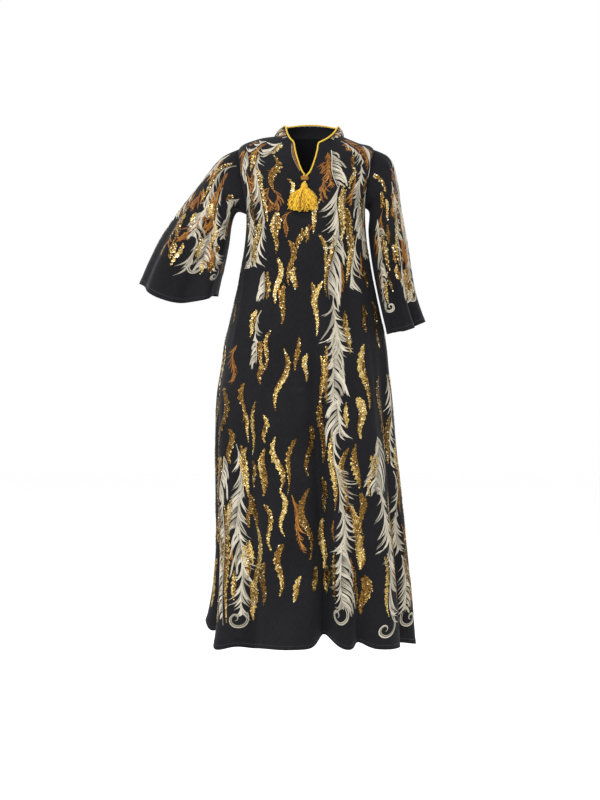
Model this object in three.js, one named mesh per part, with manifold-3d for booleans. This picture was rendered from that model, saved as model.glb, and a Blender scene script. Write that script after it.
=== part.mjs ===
// A long kaftan as it hangs when it is worn: front and back panels, two wide bell sleeves, a stand
// collar, a golden piping cord round the collar and the neck slit, and a yarn tassel.
// Millimetres, +Z up, -Y is the front, +X the wearer's left. The origin is the middle of the neck
// base, where the shoulders carry the garment.
import * as THREE from "three";
import { mergeVertices } from "three/addons/utils/BufferGeometryUtils.js";
import Module from "manifold-3d";

const wasm = await Module();
wasm.setup();

// The rows of a table: an object for each, with a value for each named column.
function table(columns, rows) {
  const names = columns.split(" ");
  return rows.map((row) => Object.fromEntries(names.map((name, i) => [name, row[i]])));
}

// ---- driving sizes -------------------------------------------------------------------------
const CLOTH = 1.5; // wall of the cloth
const SEAM_GAP = 0.6; // between two pieces at a seam
const LIE_GAP = 0.4; // between a piece and the panel that it lies on
const FRONT_COLUMNS = 44;
const BACK_COLUMNS = 36;
const ARMHOLE_STEPS = 12; // rows of a panel beside its armhole
const ARMHOLE_OPEN = 24; // degrees that the armhole reaches to the front and to the back
const SLIT_ROW = 13.25; // row of the slit's lowest point
const SLIT_HALF_WIDTH = 34; // at the neck seam
const SLIT_ROUNDNESS = 0.42; // power of the slit's outline: 1 is a straight V
const SLIT_START = 0.001; // rows above its lowest point where the slit parts the columns
const CORD_RADIUS = 2.2;
const CORD_GAP = 1.05; // from the cord to the edge that it is piped on
const CORD_SIDES = 6;
const CORD_STEPS = 72;
const CORD_SLIT_ROWS = [13.31, 13.38, 13.56, 13.8, 14, 14.25, 14.6, 15.2, 16]; // slit's point to neck
const CORD_COLLAR_HEIGHTS = [0.12, 0.35, 0.7]; // shares of the collar's front edge
const CORD_MITRE = 1.5; // most that a corner of the cord's path moves out

// The body's sections, hem to neck seam. left, right, front and back are the outline's reach;
// zLeft, zRight, zFront and zBack its height there; square swells it between those four.
const BODY = table("zLeft zRight zFront zBack left right front back square", [
  [-1240, -1250, -1240, -1246, -238, 260, -176, 168, 0.03],
  [-1150, -1152, -1152, -1152, -227, 254, -172, 162, 0.03],
  [-1026, -1026, -1026, -1026, -222, 244, -164, 154, 0.03],
  [-902, -902, -902, -902, -226, 233, -156, 146, 0.03],
  [-777, -777, -777, -777, -227, 222, -149, 139, 0.03],
  [-652, -652, -652, -652, -224, 212, -142, 132, 0.03],
  [-577, -577, -577, -577, -213, 205, -137, 126, 0.03],
  [-502, -502, -502, -502, -201, 197, -131, 119, 0.03],
  [-402, -402, -402, -402, -177, 176, -122, 108, 0.03],
  [-327, -327, -327, -327, -162, 161, -123, 103, 0.04],
  [-252, -245, -262, -255, -151, 150, -129, 105, 0.05],
  [-190, -175, -205, -193, -149, 147, -132, 109, 0.07],
  [-138, -128, -160, -142, -160, 154, -127, 112, 0.09],
  [-84, -80, -121, -98, -169, 163, -117, 110, 0.09],
  [-26, -27, -82, -54, -167, 168, -102, 100, 0.06],
  [-3, -12, -53, -18, -122, 130, -87, 84, 0.02],
  [4, 3, -27, 14, -79, 94, -72, 65, 0],
]);
const UNDERARM_ROW = 11;
const SHOULDER_ROW = 14;
const NECK_ROW = 16;
const SKIRT_ROWS = [0, 0.5, 1, 2, 3, 4, 5, 6, 7, 8, 9, 10, 11];
const SHOULDER_ROWS = [14.25, 14.6, 15.2, 16];
const SLIT_TIP_ROWS = [13.29, 13.38]; // finer rows of the front, round the slit's lowest point

// The body's folds. angle is where each one reaches the hem, topAngle where it fades out, topRow
// its row there, depth how far it stands out (negative: a trough), lift how far it raises the
// hem, halfWidth in degrees.
const BODY_FOLDS = table("angle topAngle topRow depth lift halfWidth", [
  [-94, -92, 3, 14, 38, 10],
  [-75, -78, 7.5, -26, 22, 6.5],
  [-57, -60, 8, 19, -14, 10],
  [-35, -40, 9, -17, -6, 6],
  [-15, -20, 8.5, 12, -1, 12],
  [8.5, 7, 8, -54, 26, 5.4],
  [19, 17, 8, 18, 0, 6.5],
  [28, 27, 3, -27, 12, 4.5],
  [44, 42, 8, 22, -1, 12],
  [66, 60, 8.5, -24, 2, 7],
  [83, 80, 7, 14, -6, 8],
  [103, 100, 6, -18, 8, 7],
  [119, 116, 8, 20, -6, 9],
  [136, 133, 9, -28, 12, 7],
  [153, 150, 8, 20, -6, 9],
  [169, 167, 9.5, -26, 10, 7],
  [-173, -175, 7.5, 20, -6, 10],
  [-154, -155, 9, -30, 14, 7],
  [-137, -135, 8, 20, -4, 9],
  [-116, -113, 8.5, -24, 14, 8],
]);

// The sleeves' stations, armhole to cuff. top and under are the upper and lower edge, depth the
// half width front to back, midY its middle, frontDrop how far the front hangs below it.
const SLEEVE_RIGHT = table("topX topZ underX underZ midY depth frontDrop", [
  [-167, -26, -149, -190, 3, 48, 0],
  [-215, -51, -172, -184, 5, 60, 0],
  [-265, -112, -185, -210, 8, 68, 2],
  [-316, -177, -193, -262, 11, 76, 8],
  [-358, -238, -203, -308, 12, 84, 18],
  [-391, -300, -214, -348, 8, 90, 28],
  [-417, -362, -224, -390, 2, 96, 40],
]);
const SLEEVE_LEFT = table("topX topZ underX underZ midY depth frontDrop", [
  [168, -27, 147, -175, 3, 48, 0],
  [210, -50, 158, -186, 2, 58, 0],
  [228, -106, 156, -235, -2, 66, 0],
  [239, -190, 163, -300, -8, 74, 0],
  [254, -285, 174, -365, -12, 82, 2],
  [268, -385, 188, -430, -14, 90, 5],
  [290, -460, 202, -488, -14, 98, 10],
]);
const SLEEVE_RINGS = [0, 0.03, 0.1, 0.2, 0.32, 0.45, 0.57, 0.68, 0.78, 0.87, 0.94, 1];
const ARMHOLE_BLEND = 0.35; // share of the sleeve over which the armhole's shape fades out

// The sleeves' folds, in degrees round the sleeve from its upper edge: 90 is the front, 180 the
// under edge. start is the share of the sleeve where a fold begins.
const SLEEVE_RIGHT_FOLDS = table("angle topAngle start depth halfWidth", [
  [28, 40, 0.2, -9, 14],
  [62, 60, 0.3, 9, 16],
  [104, 120, 0.1, -13, 13],
  [136, 150, 0.15, 12, 13],
  [205, 200, 0.3, 10, 13],
  [238, 225, 0.2, -15, 14],
  [278, 270, 0.3, 12, 15],
  [318, 320, 0.4, -12, 14],
]);
const SLEEVE_LEFT_FOLDS = table("angle topAngle start depth halfWidth", [
  [22, 24, 0.35, 7, 12],
  [52, 60, 0.3, -20, 12],
  [84, 90, 0.2, 9, 14],
  [124, 110, 0.25, -10, 14],
  [228, 240, 0.3, -12, 13],
  [262, 270, 0.2, 12, 15],
  [300, 300, 0.3, -16, 13],
  [332, 336, 0.4, 8, 12],
]);

// The collar's upper edge, and how far its middle bows outward.
const COLLAR_TOP = {
  zLeft: 30,
  zRight: 27,
  zFront: -16,
  zBack: 45,
  left: -57,
  right: 84,
  front: -66,
  back: 60,
};
const COLLAR_BOW = 3;
const COLLAR_EASE = 2; // from the slit's edge to the collar's front edge at the neck seam
const COLLAR_COLUMNS = 30;
const COLLAR_ROWS = [0, 0.35, 0.7, 1];
const COLLAR_CORNER = { left: -53, right: 81 }; // x of its front corners at the top

// The turned-back facing beside the slit: rows it covers, its width, which narrows to endWidth of
// itself at both ends, its distance from the slit, and its wall.
const FACING = {
  startRow: 13.5,
  endRow: 15.7,
  width: 8,
  endWidth: 0.37,
  inset: 0.8,
  wall: 1.2,
  rows: 8,
  columns: 2,
};

// The knot and bead under the slit, and the tassel: its wound head and the reach of its threads.
// A profile's rows are shares of the radius and of the height from the middle or from the top.
const KNOT = { z: -120, x: -4, radius: 10, height: 10, flatness: 0.6, sides: 14 };
const KNOT_PROFILE = table("radius height", [
  [0, -0.5],
  [0.6, -0.5],
  [1, -0.25],
  [0.86, 0],
  [1, 0.25],
  [0.6, 0.5],
  [0, 0.5],
]);
const BEAD = { z: -128.8, x: -3, radius: 3, steps: 8, sides: 12 };
const HEAD = { x: -5, z: -132.6, radius: 9, widest: 1.15, height: 19, flatness: 0.75, sides: 16 };
const HEAD_PROFILE = table("radius height", [
  [0, -1],
  [1.05, -1],
  [1.15, -0.7],
  [0.85, -0.42],
  [0.9, -0.2],
  [0.5, 0],
  [0, 0],
]);
const THREADS = { x: -10, halfWidth: 31, depth: 15, length: 67, layers: [7, 9, 10, 9] };
const THREAD_ROOT = { wide: 0.8, deep: 0.5, down: 0.75 }; // shares of the head's radius and height
const THREAD_TRIM = { dome: 0.07, uneven: 0.03 }; // shares of the length that tips are shorter by
const THREAD_PATH = table("x y z", [
  [0.6, 0.7, 0.22],
  [0.96, 1, 0.6],
]); // shares of the way from root to tip
const THREAD_RADIUS = 1.5;
const THREAD_SIDES = 3;
const THREAD_STEPS = 4;
const TASSEL_STAND_OFF = 1.2; // from the panel to the nearest thread

// Steps over which slopes are taken: degrees and rows on the body, degrees and a share of the
// length on a sleeve, shares round and up on the collar. The ends of each are left out.
const BODY_SLOPE = { angle: 0.5, row: 0.02 };
const SLEEVE_SLOPE = { angle: 2, along: 0.01 };
const COLLAR_SLOPE = { share: 0.004, height: 0.02 };
const FOLD_GROWTH = 1.25; // power by which a fold grows from its start
const HEM_SAMPLES = 600; // short lengths that a hem is measured in
const BISECTIONS = 40; // halvings when a height on the front is looked for

// ---- shared sums ---------------------------------------------------------------------------
const radians = THREE.MathUtils.degToRad;
const degrees = THREE.MathUtils.radToDeg;

// A column of a table at a row between its rows, on a Catmull-Rom curve.
function columnAt(table, column, row) {
  const last = table.length - 1;
  const i = Math.min(Math.max(Math.floor(row), 0), last - 1);
  const f = row - i;
  const value = (k) => table[Math.min(Math.max(k, 0), last)][column];
  const [a, b, c, d] = [value(i - 1), value(i), value(i + 1), value(i + 2)];
  return b + 0.5 * f * (c - a + f * (2 * a - 5 * b + 4 * c - d + f * (3 * (b - c) + d - a)));
}

function smoothstep(x) {
  const t = Math.min(Math.max(x, 0), 1);
  return t * t * (3 - 2 * t);
}

// How far apart two angles are, from -180 to 180 degrees.
const turn = (a, b) => ((((a - b + 180) % 360) + 360) % 360) - 180;

// A fold's share of its depth at an angle: grown is 0 where it starts and 1 where it ends.
function foldShare(fold, angle, grown) {
  if (grown <= 0) return 0;
  const centre = fold.topAngle + turn(fold.angle, fold.topAngle) * grown;
  const off = turn(angle, centre) / fold.halfWidth;
  return Math.pow(grown, FOLD_GROWTH) * Math.exp(-off * off);
}

// ---- the body ------------------------------------------------------------------------------
// A ring with the reaches and heights of a section, at an angle: 0 is the front, 90 is +X.
function ringPoint(s, angle, outward) {
  const [sin, cos] = [Math.sin(radians(angle)), Math.cos(radians(angle))];
  const [a, b] = [(s.right - s.left) / 2, (s.back - s.front) / 2];
  const swell = 1 + s.square * Math.pow(2 * sin * cos, 2);
  const normal = new THREE.Vector2(sin / a, -cos / b).normalize();
  const side = sin < 0 ? s.zLeft : s.zRight;
  const middle = cos > 0 ? s.zFront : s.zBack;
  return new THREE.Vector3(
    (s.right + s.left) / 2 + a * sin * swell + normal.x * outward,
    (s.back + s.front) / 2 - b * cos * swell + normal.y * outward,
    side * sin * sin + middle * cos * cos,
  );
}

function bodySection(row) {
  const section = {};
  for (const column of Object.keys(BODY[0])) section[column] = columnAt(BODY, column, row);
  return section;
}

function bodyPoint(angle, row) {
  let [outward, lift] = [0, 0];
  for (const fold of BODY_FOLDS) {
    const share = foldShare(fold, angle, 1 - row / fold.topRow);
    outward += fold.depth * share;
    lift += fold.lift * share;
  }
  const point = ringPoint(bodySection(row), angle, outward);
  point.z += lift;
  return point;
}

// The angle of the front panel's middle line, or of an edge of the slit, at a given x.
function frontAngle(row, x) {
  const s = bodySection(row);
  return degrees(Math.asin((x - (s.right + s.left) / 2) / ((s.right - s.left) / 2)));
}

function slitHalfWidth(row) {
  if (row < SLIT_ROW + SLIT_START) return 0;
  return SLIT_HALF_WIDTH * Math.pow((row - SLIT_ROW) / (NECK_ROW - SLIT_ROW), SLIT_ROUNDNESS);
}

// The angle at which a panel ends at its side: 90 at the seams, less beside the armhole.
function sideReach(row) {
  if (row <= UNDERARM_ROW || row >= SHOULDER_ROW) return 0;
  let step = 0;
  while (armholeRow(step + 1) < row) step++;
  const share = (row - armholeRow(step)) / (armholeRow(step + 1) - armholeRow(step));
  const reach = (k) => ARMHOLE_OPEN * Math.sin((Math.PI * k) / ARMHOLE_STEPS);
  return reach(step) + (reach(step + 1) - reach(step)) * share;
}

function armholeRow(step) {
  const share = (1 - Math.cos((Math.PI * step) / ARMHOLE_STEPS)) / 2;
  return UNDERARM_ROW + (SHOULDER_ROW - UNDERARM_ROW) * share;
}

const PANEL_ROWS = [
  ...SKIRT_ROWS,
  ...Array.from({ length: ARMHOLE_STEPS }, (_, i) => armholeRow(i + 1)),
  ...SHOULDER_ROWS,
];
const FRONT_ROWS = [...PANEL_ROWS, ...SLIT_TIP_ROWS].sort((a, b) => a - b);

// The unit normal of a surface given as a function of two parameters, pointing out.
function normalOf(surface, p, q, dp, dq) {
  const along = surface(p + dp, q).sub(surface(p - dp, q));
  const up = surface(p, q + dq).sub(surface(p, q - dq));
  return along.cross(up).normalize();
}

function bodyNormal(angle, row) {
  const below = Math.min(row, NECK_ROW - BODY_SLOPE.row);
  return normalOf(bodyPoint, angle, below, BODY_SLOPE.angle, BODY_SLOPE.row);
}

// Angles that cut the hem between two angles into equal lengths of cloth.
function equalHemAngles(from, to, count) {
  const sample = (i) => from + ((to - from) * i) / HEM_SAMPLES;
  const lengths = [0];
  for (let i = 1; i <= HEM_SAMPLES; i++) {
    const reached = bodyPoint(sample(i), 0).distanceTo(bodyPoint(sample(i - 1), 0));
    lengths.push(lengths[i - 1] + reached);
  }
  const angles = [];
  for (let k = 0, i = 0; k <= count; k++) {
    const wanted = (lengths[HEM_SAMPLES] * k) / count;
    while (i < HEM_SAMPLES - 1 && lengths[i + 1] < wanted) i++;
    const part = (wanted - lengths[i]) / (lengths[i + 1] - lengths[i]);
    angles.push(sample(i + Math.min(part, 1)));
  }
  return angles;
}

// ---- walls ---------------------------------------------------------------------------------
// A closed wall: outer and inner points, the quads between them, and a rim round every open edge.
function wall(outer, inner, quads) {
  const count = outer.length;
  const index = [];
  const edges = new Map();
  for (const [a, b, c, d] of quads) {
    const [A, B, C, D] = [a + count, b + count, c + count, d + count];
    index.push(a, b, c, a, c, d, A, C, B, A, D, C);
    for (const [p, q] of [[a, b], [b, c], [c, d], [d, a]]) {
      const twin = q + "," + p;
      if (edges.has(twin)) edges.delete(twin);
      else edges.set(p + "," + q, [p, q]);
    }
  }
  for (const [p, q] of edges.values()) {
    index.push(q, p, p + count, q, p + count, q + count);
  }
  const positions = [...outer, ...inner].flatMap((v) => [v.x, v.y, v.z]);
  return new THREE.BufferGeometry()
    .setAttribute("position", new THREE.Float32BufferAttribute(positions, 3))
    .setIndex(index);
}

const inward = (point, normal, by) => point.clone().addScaledVector(normal, -by);
const lining = (points, normals) => points.map((p, i) => inward(p, normals[i], CLOTH));

function gridQuads(rows, columns, closed = false) {
  const quads = [];
  const across = closed ? columns : columns + 1;
  for (let r = 0; r < rows; r++) {
    for (let c = 0; c < columns; c++) {
      const [a, b] = [r * across + c, r * across + ((c + 1) % across)];
      quads.push([a, b, b + across, a + across]);
    }
  }
  return quads;
}

const finish = (name, color, roughness, metalness = 0) =>
  new THREE.MeshStandardMaterial({ name, color, roughness, metalness });

const kaftan = new THREE.Group();

function add(name, geometry, material) {
  const mesh = new THREE.Mesh(geometry, material);
  mesh.name = name;
  kaftan.add(mesh);
}

const BLACK_CREPE = finish("crepe", 0x232327, 0.85);
const COLLAR_CLOTH = finish("collar", 0x4a3b2c, 0.85);
const GOLDEN_CORD = finish("cord", 0xe0b02e, 0.6);
const YELLOW_YARN = finish("thread", 0xdfa426, 0.7);
const COPPER_THREAD = finish("bronze", 0x9a5f1c, 0.5);
const GILT = finish("gilt", 0xd9b25a, 0.3, 0.8);

// The gap to leave beside a seam, in degrees, at a row.
function seamDegrees(row, angle) {
  const step = BODY_SLOPE.angle;
  const length = bodyPoint(angle + step, row).distanceTo(bodyPoint(angle - step, row));
  return (SEAM_GAP / 2) * ((2 * step) / length);
}

// The front panel: two halves that share the middle column below the slit.
function frontPanel() {
  const half = FRONT_COLUMNS / 2;
  const hemMiddle = frontAngle(0, 0);
  const hem = {
    left: equalHemAngles(-90, hemMiddle, half),
    right: equalHemAngles(hemMiddle, 90, half),
  };
  const points = [];
  const normals = [];
  const ids = { left: [], right: [] };
  FRONT_ROWS.forEach((row, r) => {
    const open = slitHalfWidth(row);
    const reach = sideReach(row);
    for (const side of ["left", "right"]) {
      const sign = side === "left" ? -1 : 1;
      const outer = sign * (90 - reach - seamDegrees(row, sign * 90));
      const inner = frontAngle(row, sign * open);
      const start = side === "left" ? outer : inner;
      const end = side === "left" ? inner : outer;
      const first = hem[side][0];
      const span = hem[side][half] - first;
      ids[side].push([]);
      for (let c = 0; c <= half; c++) {
        const shared = side === "right" && c === 0 && open === 0;
        if (shared) {
          ids.right[r].push(ids.left[r][half]);
          continue;
        }
        const angle = start + ((end - start) * (hem[side][c] - first)) / span;
        ids[side][r].push(points.length);
        points.push(bodyPoint(angle, row));
        normals.push(bodyNormal(angle, row));
      }
    }
  });
  const quads = [];
  for (const side of ["left", "right"]) {
    for (let r = 0; r + 1 < FRONT_ROWS.length; r++) {
      const [low, high] = [ids[side][r], ids[side][r + 1]];
      for (let c = 0; c < half; c++) quads.push([low[c], low[c + 1], high[c + 1], high[c]]);
    }
  }
  add("front_panel", wall(points, lining(points, normals), quads), BLACK_CREPE);
}

function backPanel() {
  const hem = equalHemAngles(90, 270, BACK_COLUMNS);
  const points = [];
  const normals = [];
  for (const row of PANEL_ROWS) {
    const reach = sideReach(row);
    const start = 90 + reach + seamDegrees(row, 90);
    const end = 270 - reach - seamDegrees(row, 270);
    for (const hemAngle of hem) {
      const angle = start + ((end - start) * (hemAngle - 90)) / 180;
      points.push(bodyPoint(angle, row));
      normals.push(bodyNormal(angle, row));
    }
  }
  const quads = gridQuads(PANEL_ROWS.length - 1, BACK_COLUMNS);
  add("back_panel", wall(points, lining(points, normals), quads), BLACK_CREPE);
}

// ---- sleeves -------------------------------------------------------------------------------
// The armhole's edge on the body, at an angle round the sleeve. sign is -1 for the wearer's right.
function armholePlace(sign, angle) {
  const row = UNDERARM_ROW + ((SHOULDER_ROW - UNDERARM_ROW) * (1 + Math.cos(radians(angle)))) / 2;
  return [sign * (90 - ARMHOLE_OPEN * Math.sin(radians(angle))), row];
}

function sleeveRing(table, folds, angle, along) {
  const row = along * (table.length - 1);
  const get = (column) => columnAt(table, column, row);
  const top = new THREE.Vector3(get("topX"), 0, get("topZ"));
  const under = new THREE.Vector3(get("underX"), 0, get("underZ"));
  const [sin, cos] = [Math.sin(radians(angle)), Math.cos(radians(angle))];
  const half = top.clone().sub(under).multiplyScalar(0.5);
  const depth = get("depth");
  let outward = 0;
  for (const fold of folds) {
    outward += fold.depth * foldShare(fold, angle, (along - fold.start) / (1 - fold.start));
  }
  const normal = half.clone().normalize().multiplyScalar(cos / half.length());
  normal.y = -sin / depth;
  normal.normalize();
  const point = top.add(under).multiplyScalar(0.5).addScaledVector(half, cos);
  point.y = get("midY") - depth * sin;
  point.z -= get("frontDrop") * Math.max(sin, 0) * sin;
  return point.addScaledVector(normal, outward);
}

// The sleeve's surface: it leaves the armhole's edge and takes its own stations' shape.
function sleevePoint(sign, table, folds, angle, along) {
  const point = sleeveRing(table, folds, angle, along);
  const left = 1 - smoothstep(along / ARMHOLE_BLEND);
  if (left <= 0) return point;
  const edge = bodyPoint(...armholePlace(sign, angle));
  return point.addScaledVector(edge.sub(sleeveRing(table, folds, angle, 0)), left);
}

function sleeve(name, sign, table, folds) {
  const around = 2 * ARMHOLE_STEPS;
  const surface = (angle, along) => sleevePoint(sign, table, folds, angle, along);
  const points = [];
  const normals = [];
  for (const along of SLEEVE_RINGS) {
    for (let c = 0; c < around; c++) {
      const angle = (sign * 360 * c) / around;
      const point = surface(angle, along);
      const { angle: turned, along: step } = SLEEVE_SLOPE;
      const inside = THREE.MathUtils.clamp(along, step, 1 - step);
      const normal = normalOf(surface, angle, inside, turned, step).multiplyScalar(sign);
      if (along === 0) {
        const place = armholePlace(sign, angle);
        const panelNormal = bodyNormal(...place);
        const before = bodyPoint(...armholePlace(sign, angle - 1));
        const tangent = bodyPoint(...armholePlace(sign, angle + 1)).sub(before);
        const away = tangent.cross(panelNormal).normalize();
        const middle = bodyPoint(sign * 90, (UNDERARM_ROW + SHOULDER_ROW) / 2);
        if (away.dot(middle.sub(point)) < 0) away.negate();
        point.addScaledVector(away, SEAM_GAP);
        normal.copy(panelNormal);
      }
      points.push(point);
      normals.push(normal);
    }
  }
  const quads = gridQuads(SLEEVE_RINGS.length - 1, around, true);
  add(name, wall(points, lining(points, normals), quads), BLACK_CREPE);
}

// ---- collar --------------------------------------------------------------------------------
function collarSide(height, side) {
  const s = collarSection(height);
  const baseX = (SLIT_HALF_WIDTH + COLLAR_EASE) * (side === "left" ? -1 : 1);
  const x = baseX + (COLLAR_CORNER[side] - baseX) * height;
  return degrees(Math.asin((x - (s.right + s.left) / 2) / ((s.right - s.left) / 2)));
}

function collarSection(height) {
  const base = bodySection(NECK_ROW);
  const section = { square: 0 };
  for (const column of Object.keys(COLLAR_TOP)) {
    section[column] = base[column] + (COLLAR_TOP[column] - base[column]) * height;
  }
  return section;
}

// share runs round the back from the right front corner (0) to the left one (1).
function collarPoint(share, height) {
  const from = collarSide(height, "right");
  const to = 360 + collarSide(height, "left");
  const bow = COLLAR_BOW * 4 * height * (1 - height);
  return ringPoint(collarSection(height), from + (to - from) * share, bow);
}

function collarNormal(share, height) {
  const inside = THREE.MathUtils.clamp(height, COLLAR_SLOPE.height, 1 - COLLAR_SLOPE.height);
  return normalOf(collarPoint, share, inside, COLLAR_SLOPE.share, COLLAR_SLOPE.height);
}

function collar() {
  const points = [];
  const normals = [];
  for (const height of COLLAR_ROWS) {
    for (let c = 0; c <= COLLAR_COLUMNS; c++) {
      const share = c / COLLAR_COLUMNS;
      const normal = collarNormal(share, height);
      const point = collarPoint(share, height);
      if (height === 0) {
        const above = collarPoint(share, COLLAR_ROWS[1]).sub(point).normalize();
        point.addScaledVector(above, SEAM_GAP);
        point.addScaledVector(normal, -SEAM_GAP);
      }
      points.push(point);
      normals.push(normal);
    }
  }
  const quads = gridQuads(COLLAR_ROWS.length - 1, COLLAR_COLUMNS);
  add("collar", wall(points, lining(points, normals), quads), COLLAR_CLOTH);
}

// ---- the piping cord -----------------------------------------------------------------------
// The edge that the cord follows: up the slit's left side, round the collar, down the other side.
function cordEdge() {
  const slit = (side) =>
    CORD_SLIT_ROWS.map((row) => {
      const angle = frontAngle(row, side * slitHalfWidth(row));
      return { point: bodyPoint(angle, row), normal: bodyNormal(angle, row) };
    });
  const onCollar = (share, height) => ({
    point: collarPoint(share, height),
    normal: collarNormal(share, height),
  });
  const upright = (share) => CORD_COLLAR_HEIGHTS.map((height) => onCollar(share, height));
  const edge = [...slit(-1), ...upright(1)];
  for (let i = COLLAR_COLUMNS; i >= 0; i--) edge.push(onCollar(i / COLLAR_COLUMNS, 1));
  edge.push(...upright(0).reverse(), ...slit(1).reverse());
  return edge;
}

function cordPath() {
  const edge = cordEdge();
  const offset = CORD_RADIUS + CORD_GAP;
  return edge.map(({ point, normal }, i) => {
    const before = edge[Math.max(i - 1, 0)].point;
    const after = edge[Math.min(i + 1, edge.length - 1)].point;
    const come = point.clone().sub(before).normalize();
    const go = after.clone().sub(point).normalize();
    const corner = Math.min(2 / come.add(go).length(), CORD_MITRE);
    const away = come.cross(normal).normalize();
    return inward(point, normal, CLOTH / 2).addScaledVector(away, offset * corner);
  });
}

function regularPolygon(radius, sides) {
  const corners = Array.from({ length: sides }, (_, i) => {
    const a = (2 * Math.PI * i) / sides;
    return new THREE.Vector2(radius * Math.cos(a), radius * Math.sin(a));
  });
  return new THREE.Shape(corners);
}

function tube(path, radius, sides, steps) {
  const curve = new THREE.CatmullRomCurve3(path, false, "centripetal");
  return new THREE.ExtrudeGeometry(regularPolygon(radius, sides), { extrudePath: curve, steps });
}

// ---- facing, knot, bead and tassel ---------------------------------------------------------
function facing() {
  const points = [];
  const inner = [];
  for (let r = 0; r <= FACING.rows; r++) {
    const share = r / FACING.rows;
    const row = FACING.startRow + (FACING.endRow - FACING.startRow) * share;
    const taper = Math.asin(FACING.endWidth);
    const width = FACING.width * Math.sin(taper + (Math.PI - 2 * taper) * share);
    for (let c = 0; c <= FACING.columns; c++) {
      const from = -slitHalfWidth(row) - FACING.inset - width;
      const angle = frontAngle(row, from + (width * c) / FACING.columns);
      const [point, normal] = [bodyPoint(angle, row), bodyNormal(angle, row)];
      inner.push(point.clone().addScaledVector(normal, LIE_GAP));
      points.push(point.clone().addScaledVector(normal, LIE_GAP + FACING.wall));
    }
  }
  add("slit_facing", wall(points, inner, gridQuads(FACING.rows, FACING.columns)), COLLAR_CLOTH);
}

// The front panel's outer face at a place given by x and z.
function panelFrontY(x, z) {
  let [low, high] = [0, NECK_ROW];
  for (let i = 0; i < BISECTIONS; i++) {
    const row = (low + high) / 2;
    if (bodyPoint(frontAngle(row, x), row).z < z) low = row;
    else high = row;
  }
  return bodyPoint(frontAngle(low, x), low).y;
}

// A turned piece, upright, with its profile in a named table and its middle or top at a point.
function lathe(profile, radius, height, sides, flatness, place) {
  const outline = profile.map((p) => new THREE.Vector2(p.radius * radius, p.height * height));
  const geometry = new THREE.LatheGeometry(outline, sides).rotateX(Math.PI / 2);
  return geometry.scale(1, flatness, 1).translate(...place);
}

function knotAndBead() {
  const off = KNOT.radius * KNOT.flatness + TASSEL_STAND_OFF;
  const y = panelFrontY(KNOT.x, KNOT.z) - off;
  const knotPlace = [KNOT.x, y, KNOT.z];
  const knot = lathe(KNOT_PROFILE, KNOT.radius, KNOT.height, KNOT.sides, KNOT.flatness, knotPlace);
  add("tassel_knot", knot, COPPER_THREAD);
  const ball = Array.from({ length: BEAD.steps + 1 }, (_, i) => {
    const a = (Math.PI * i) / BEAD.steps;
    return { radius: i % BEAD.steps === 0 ? 0 : Math.sin(a), height: -Math.cos(a) };
  });
  const bead = lathe(ball, BEAD.radius, BEAD.radius, BEAD.sides, 1, [BEAD.x, y, BEAD.z]);
  add("tassel_bead", bead, GILT);
}

function solid(geometry) {
  for (const name of Object.keys(geometry.attributes)) {
    if (name !== "position") geometry.deleteAttribute(name);
  }
  const merged = mergeVertices(geometry, 1e-4);
  return new wasm.Manifold(
    new wasm.Mesh({
      numProp: 3,
      vertProperties: merged.attributes.position.array,
      triVerts: new Uint32Array(merged.index.array),
    }),
  );
}

function geometryOf(manifold) {
  const { vertProperties, triVerts } = manifold.getMesh();
  return new THREE.BufferGeometry()
    .setAttribute("position", new THREE.BufferAttribute(vertProperties, 3))
    .setIndex(new THREE.BufferAttribute(triVerts, 1));
}

// The tassel: a bell-shaped head of wound thread, and threads that fan out of it into a dome.
function tassel() {
  const { radius, height } = HEAD;
  const off = radius * HEAD.widest * HEAD.flatness + TASSEL_STAND_OFF;
  const headY = panelFrontY(HEAD.x, HEAD.z - height) - off;
  const place = [HEAD.x, headY, HEAD.z];
  let made = solid(lathe(HEAD_PROFILE, radius, height, HEAD.sides, HEAD.flatness, place));
  THREADS.layers.forEach((count, layer) => {
    const forward = 1 - layer / (THREADS.layers.length - 1);
    for (let i = 0; i < count; i++) {
      const wide = (2 * (i + 0.5)) / count - 1;
      const uneven = THREAD_TRIM.uneven * ((i * 5 + layer * 3) % 4);
      const length = THREADS.length * (1 - THREAD_TRIM.dome * wide * wide - uneven);
      const root = new THREE.Vector3(
        HEAD.x + radius * THREAD_ROOT.wide * wide,
        headY + radius * THREAD_ROOT.deep * (1 - 2 * forward),
        HEAD.z - height * THREAD_ROOT.down,
      );
      const tip = new THREE.Vector3(THREADS.x + THREADS.halfWidth * wide, 0, HEAD.z - length);
      const tipOff = TASSEL_STAND_OFF + THREAD_RADIUS + THREADS.depth * forward;
      tip.y = panelFrontY(tip.x, tip.z) - tipOff;
      const between = THREAD_PATH.map(
        (share) =>
          new THREE.Vector3(
            THREE.MathUtils.lerp(root.x, tip.x, share.x),
            THREE.MathUtils.lerp(root.y, tip.y, share.y),
            THREE.MathUtils.lerp(root.z, tip.z, share.z),
          ),
      );
      const path = [root, ...between, tip];
      made = made.add(solid(tube(path, THREAD_RADIUS, THREAD_SIDES, THREAD_STEPS)));
    }
  });
  add("tassel", geometryOf(made), YELLOW_YARN);
}

frontPanel();
backPanel();
sleeve("sleeve_right", -1, SLEEVE_RIGHT, SLEEVE_RIGHT_FOLDS);
sleeve("sleeve_left", 1, SLEEVE_LEFT, SLEEVE_LEFT_FOLDS);
collar();
add("neck_cord", tube(cordPath(), CORD_RADIUS, CORD_SIDES, CORD_STEPS), GOLDEN_CORD);
facing();
knotAndBead();
tassel();

export default kaftan;
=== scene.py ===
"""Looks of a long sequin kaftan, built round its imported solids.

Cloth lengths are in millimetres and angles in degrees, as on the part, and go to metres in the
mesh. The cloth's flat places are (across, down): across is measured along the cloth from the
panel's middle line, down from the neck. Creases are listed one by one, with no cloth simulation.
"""

import math

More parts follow.
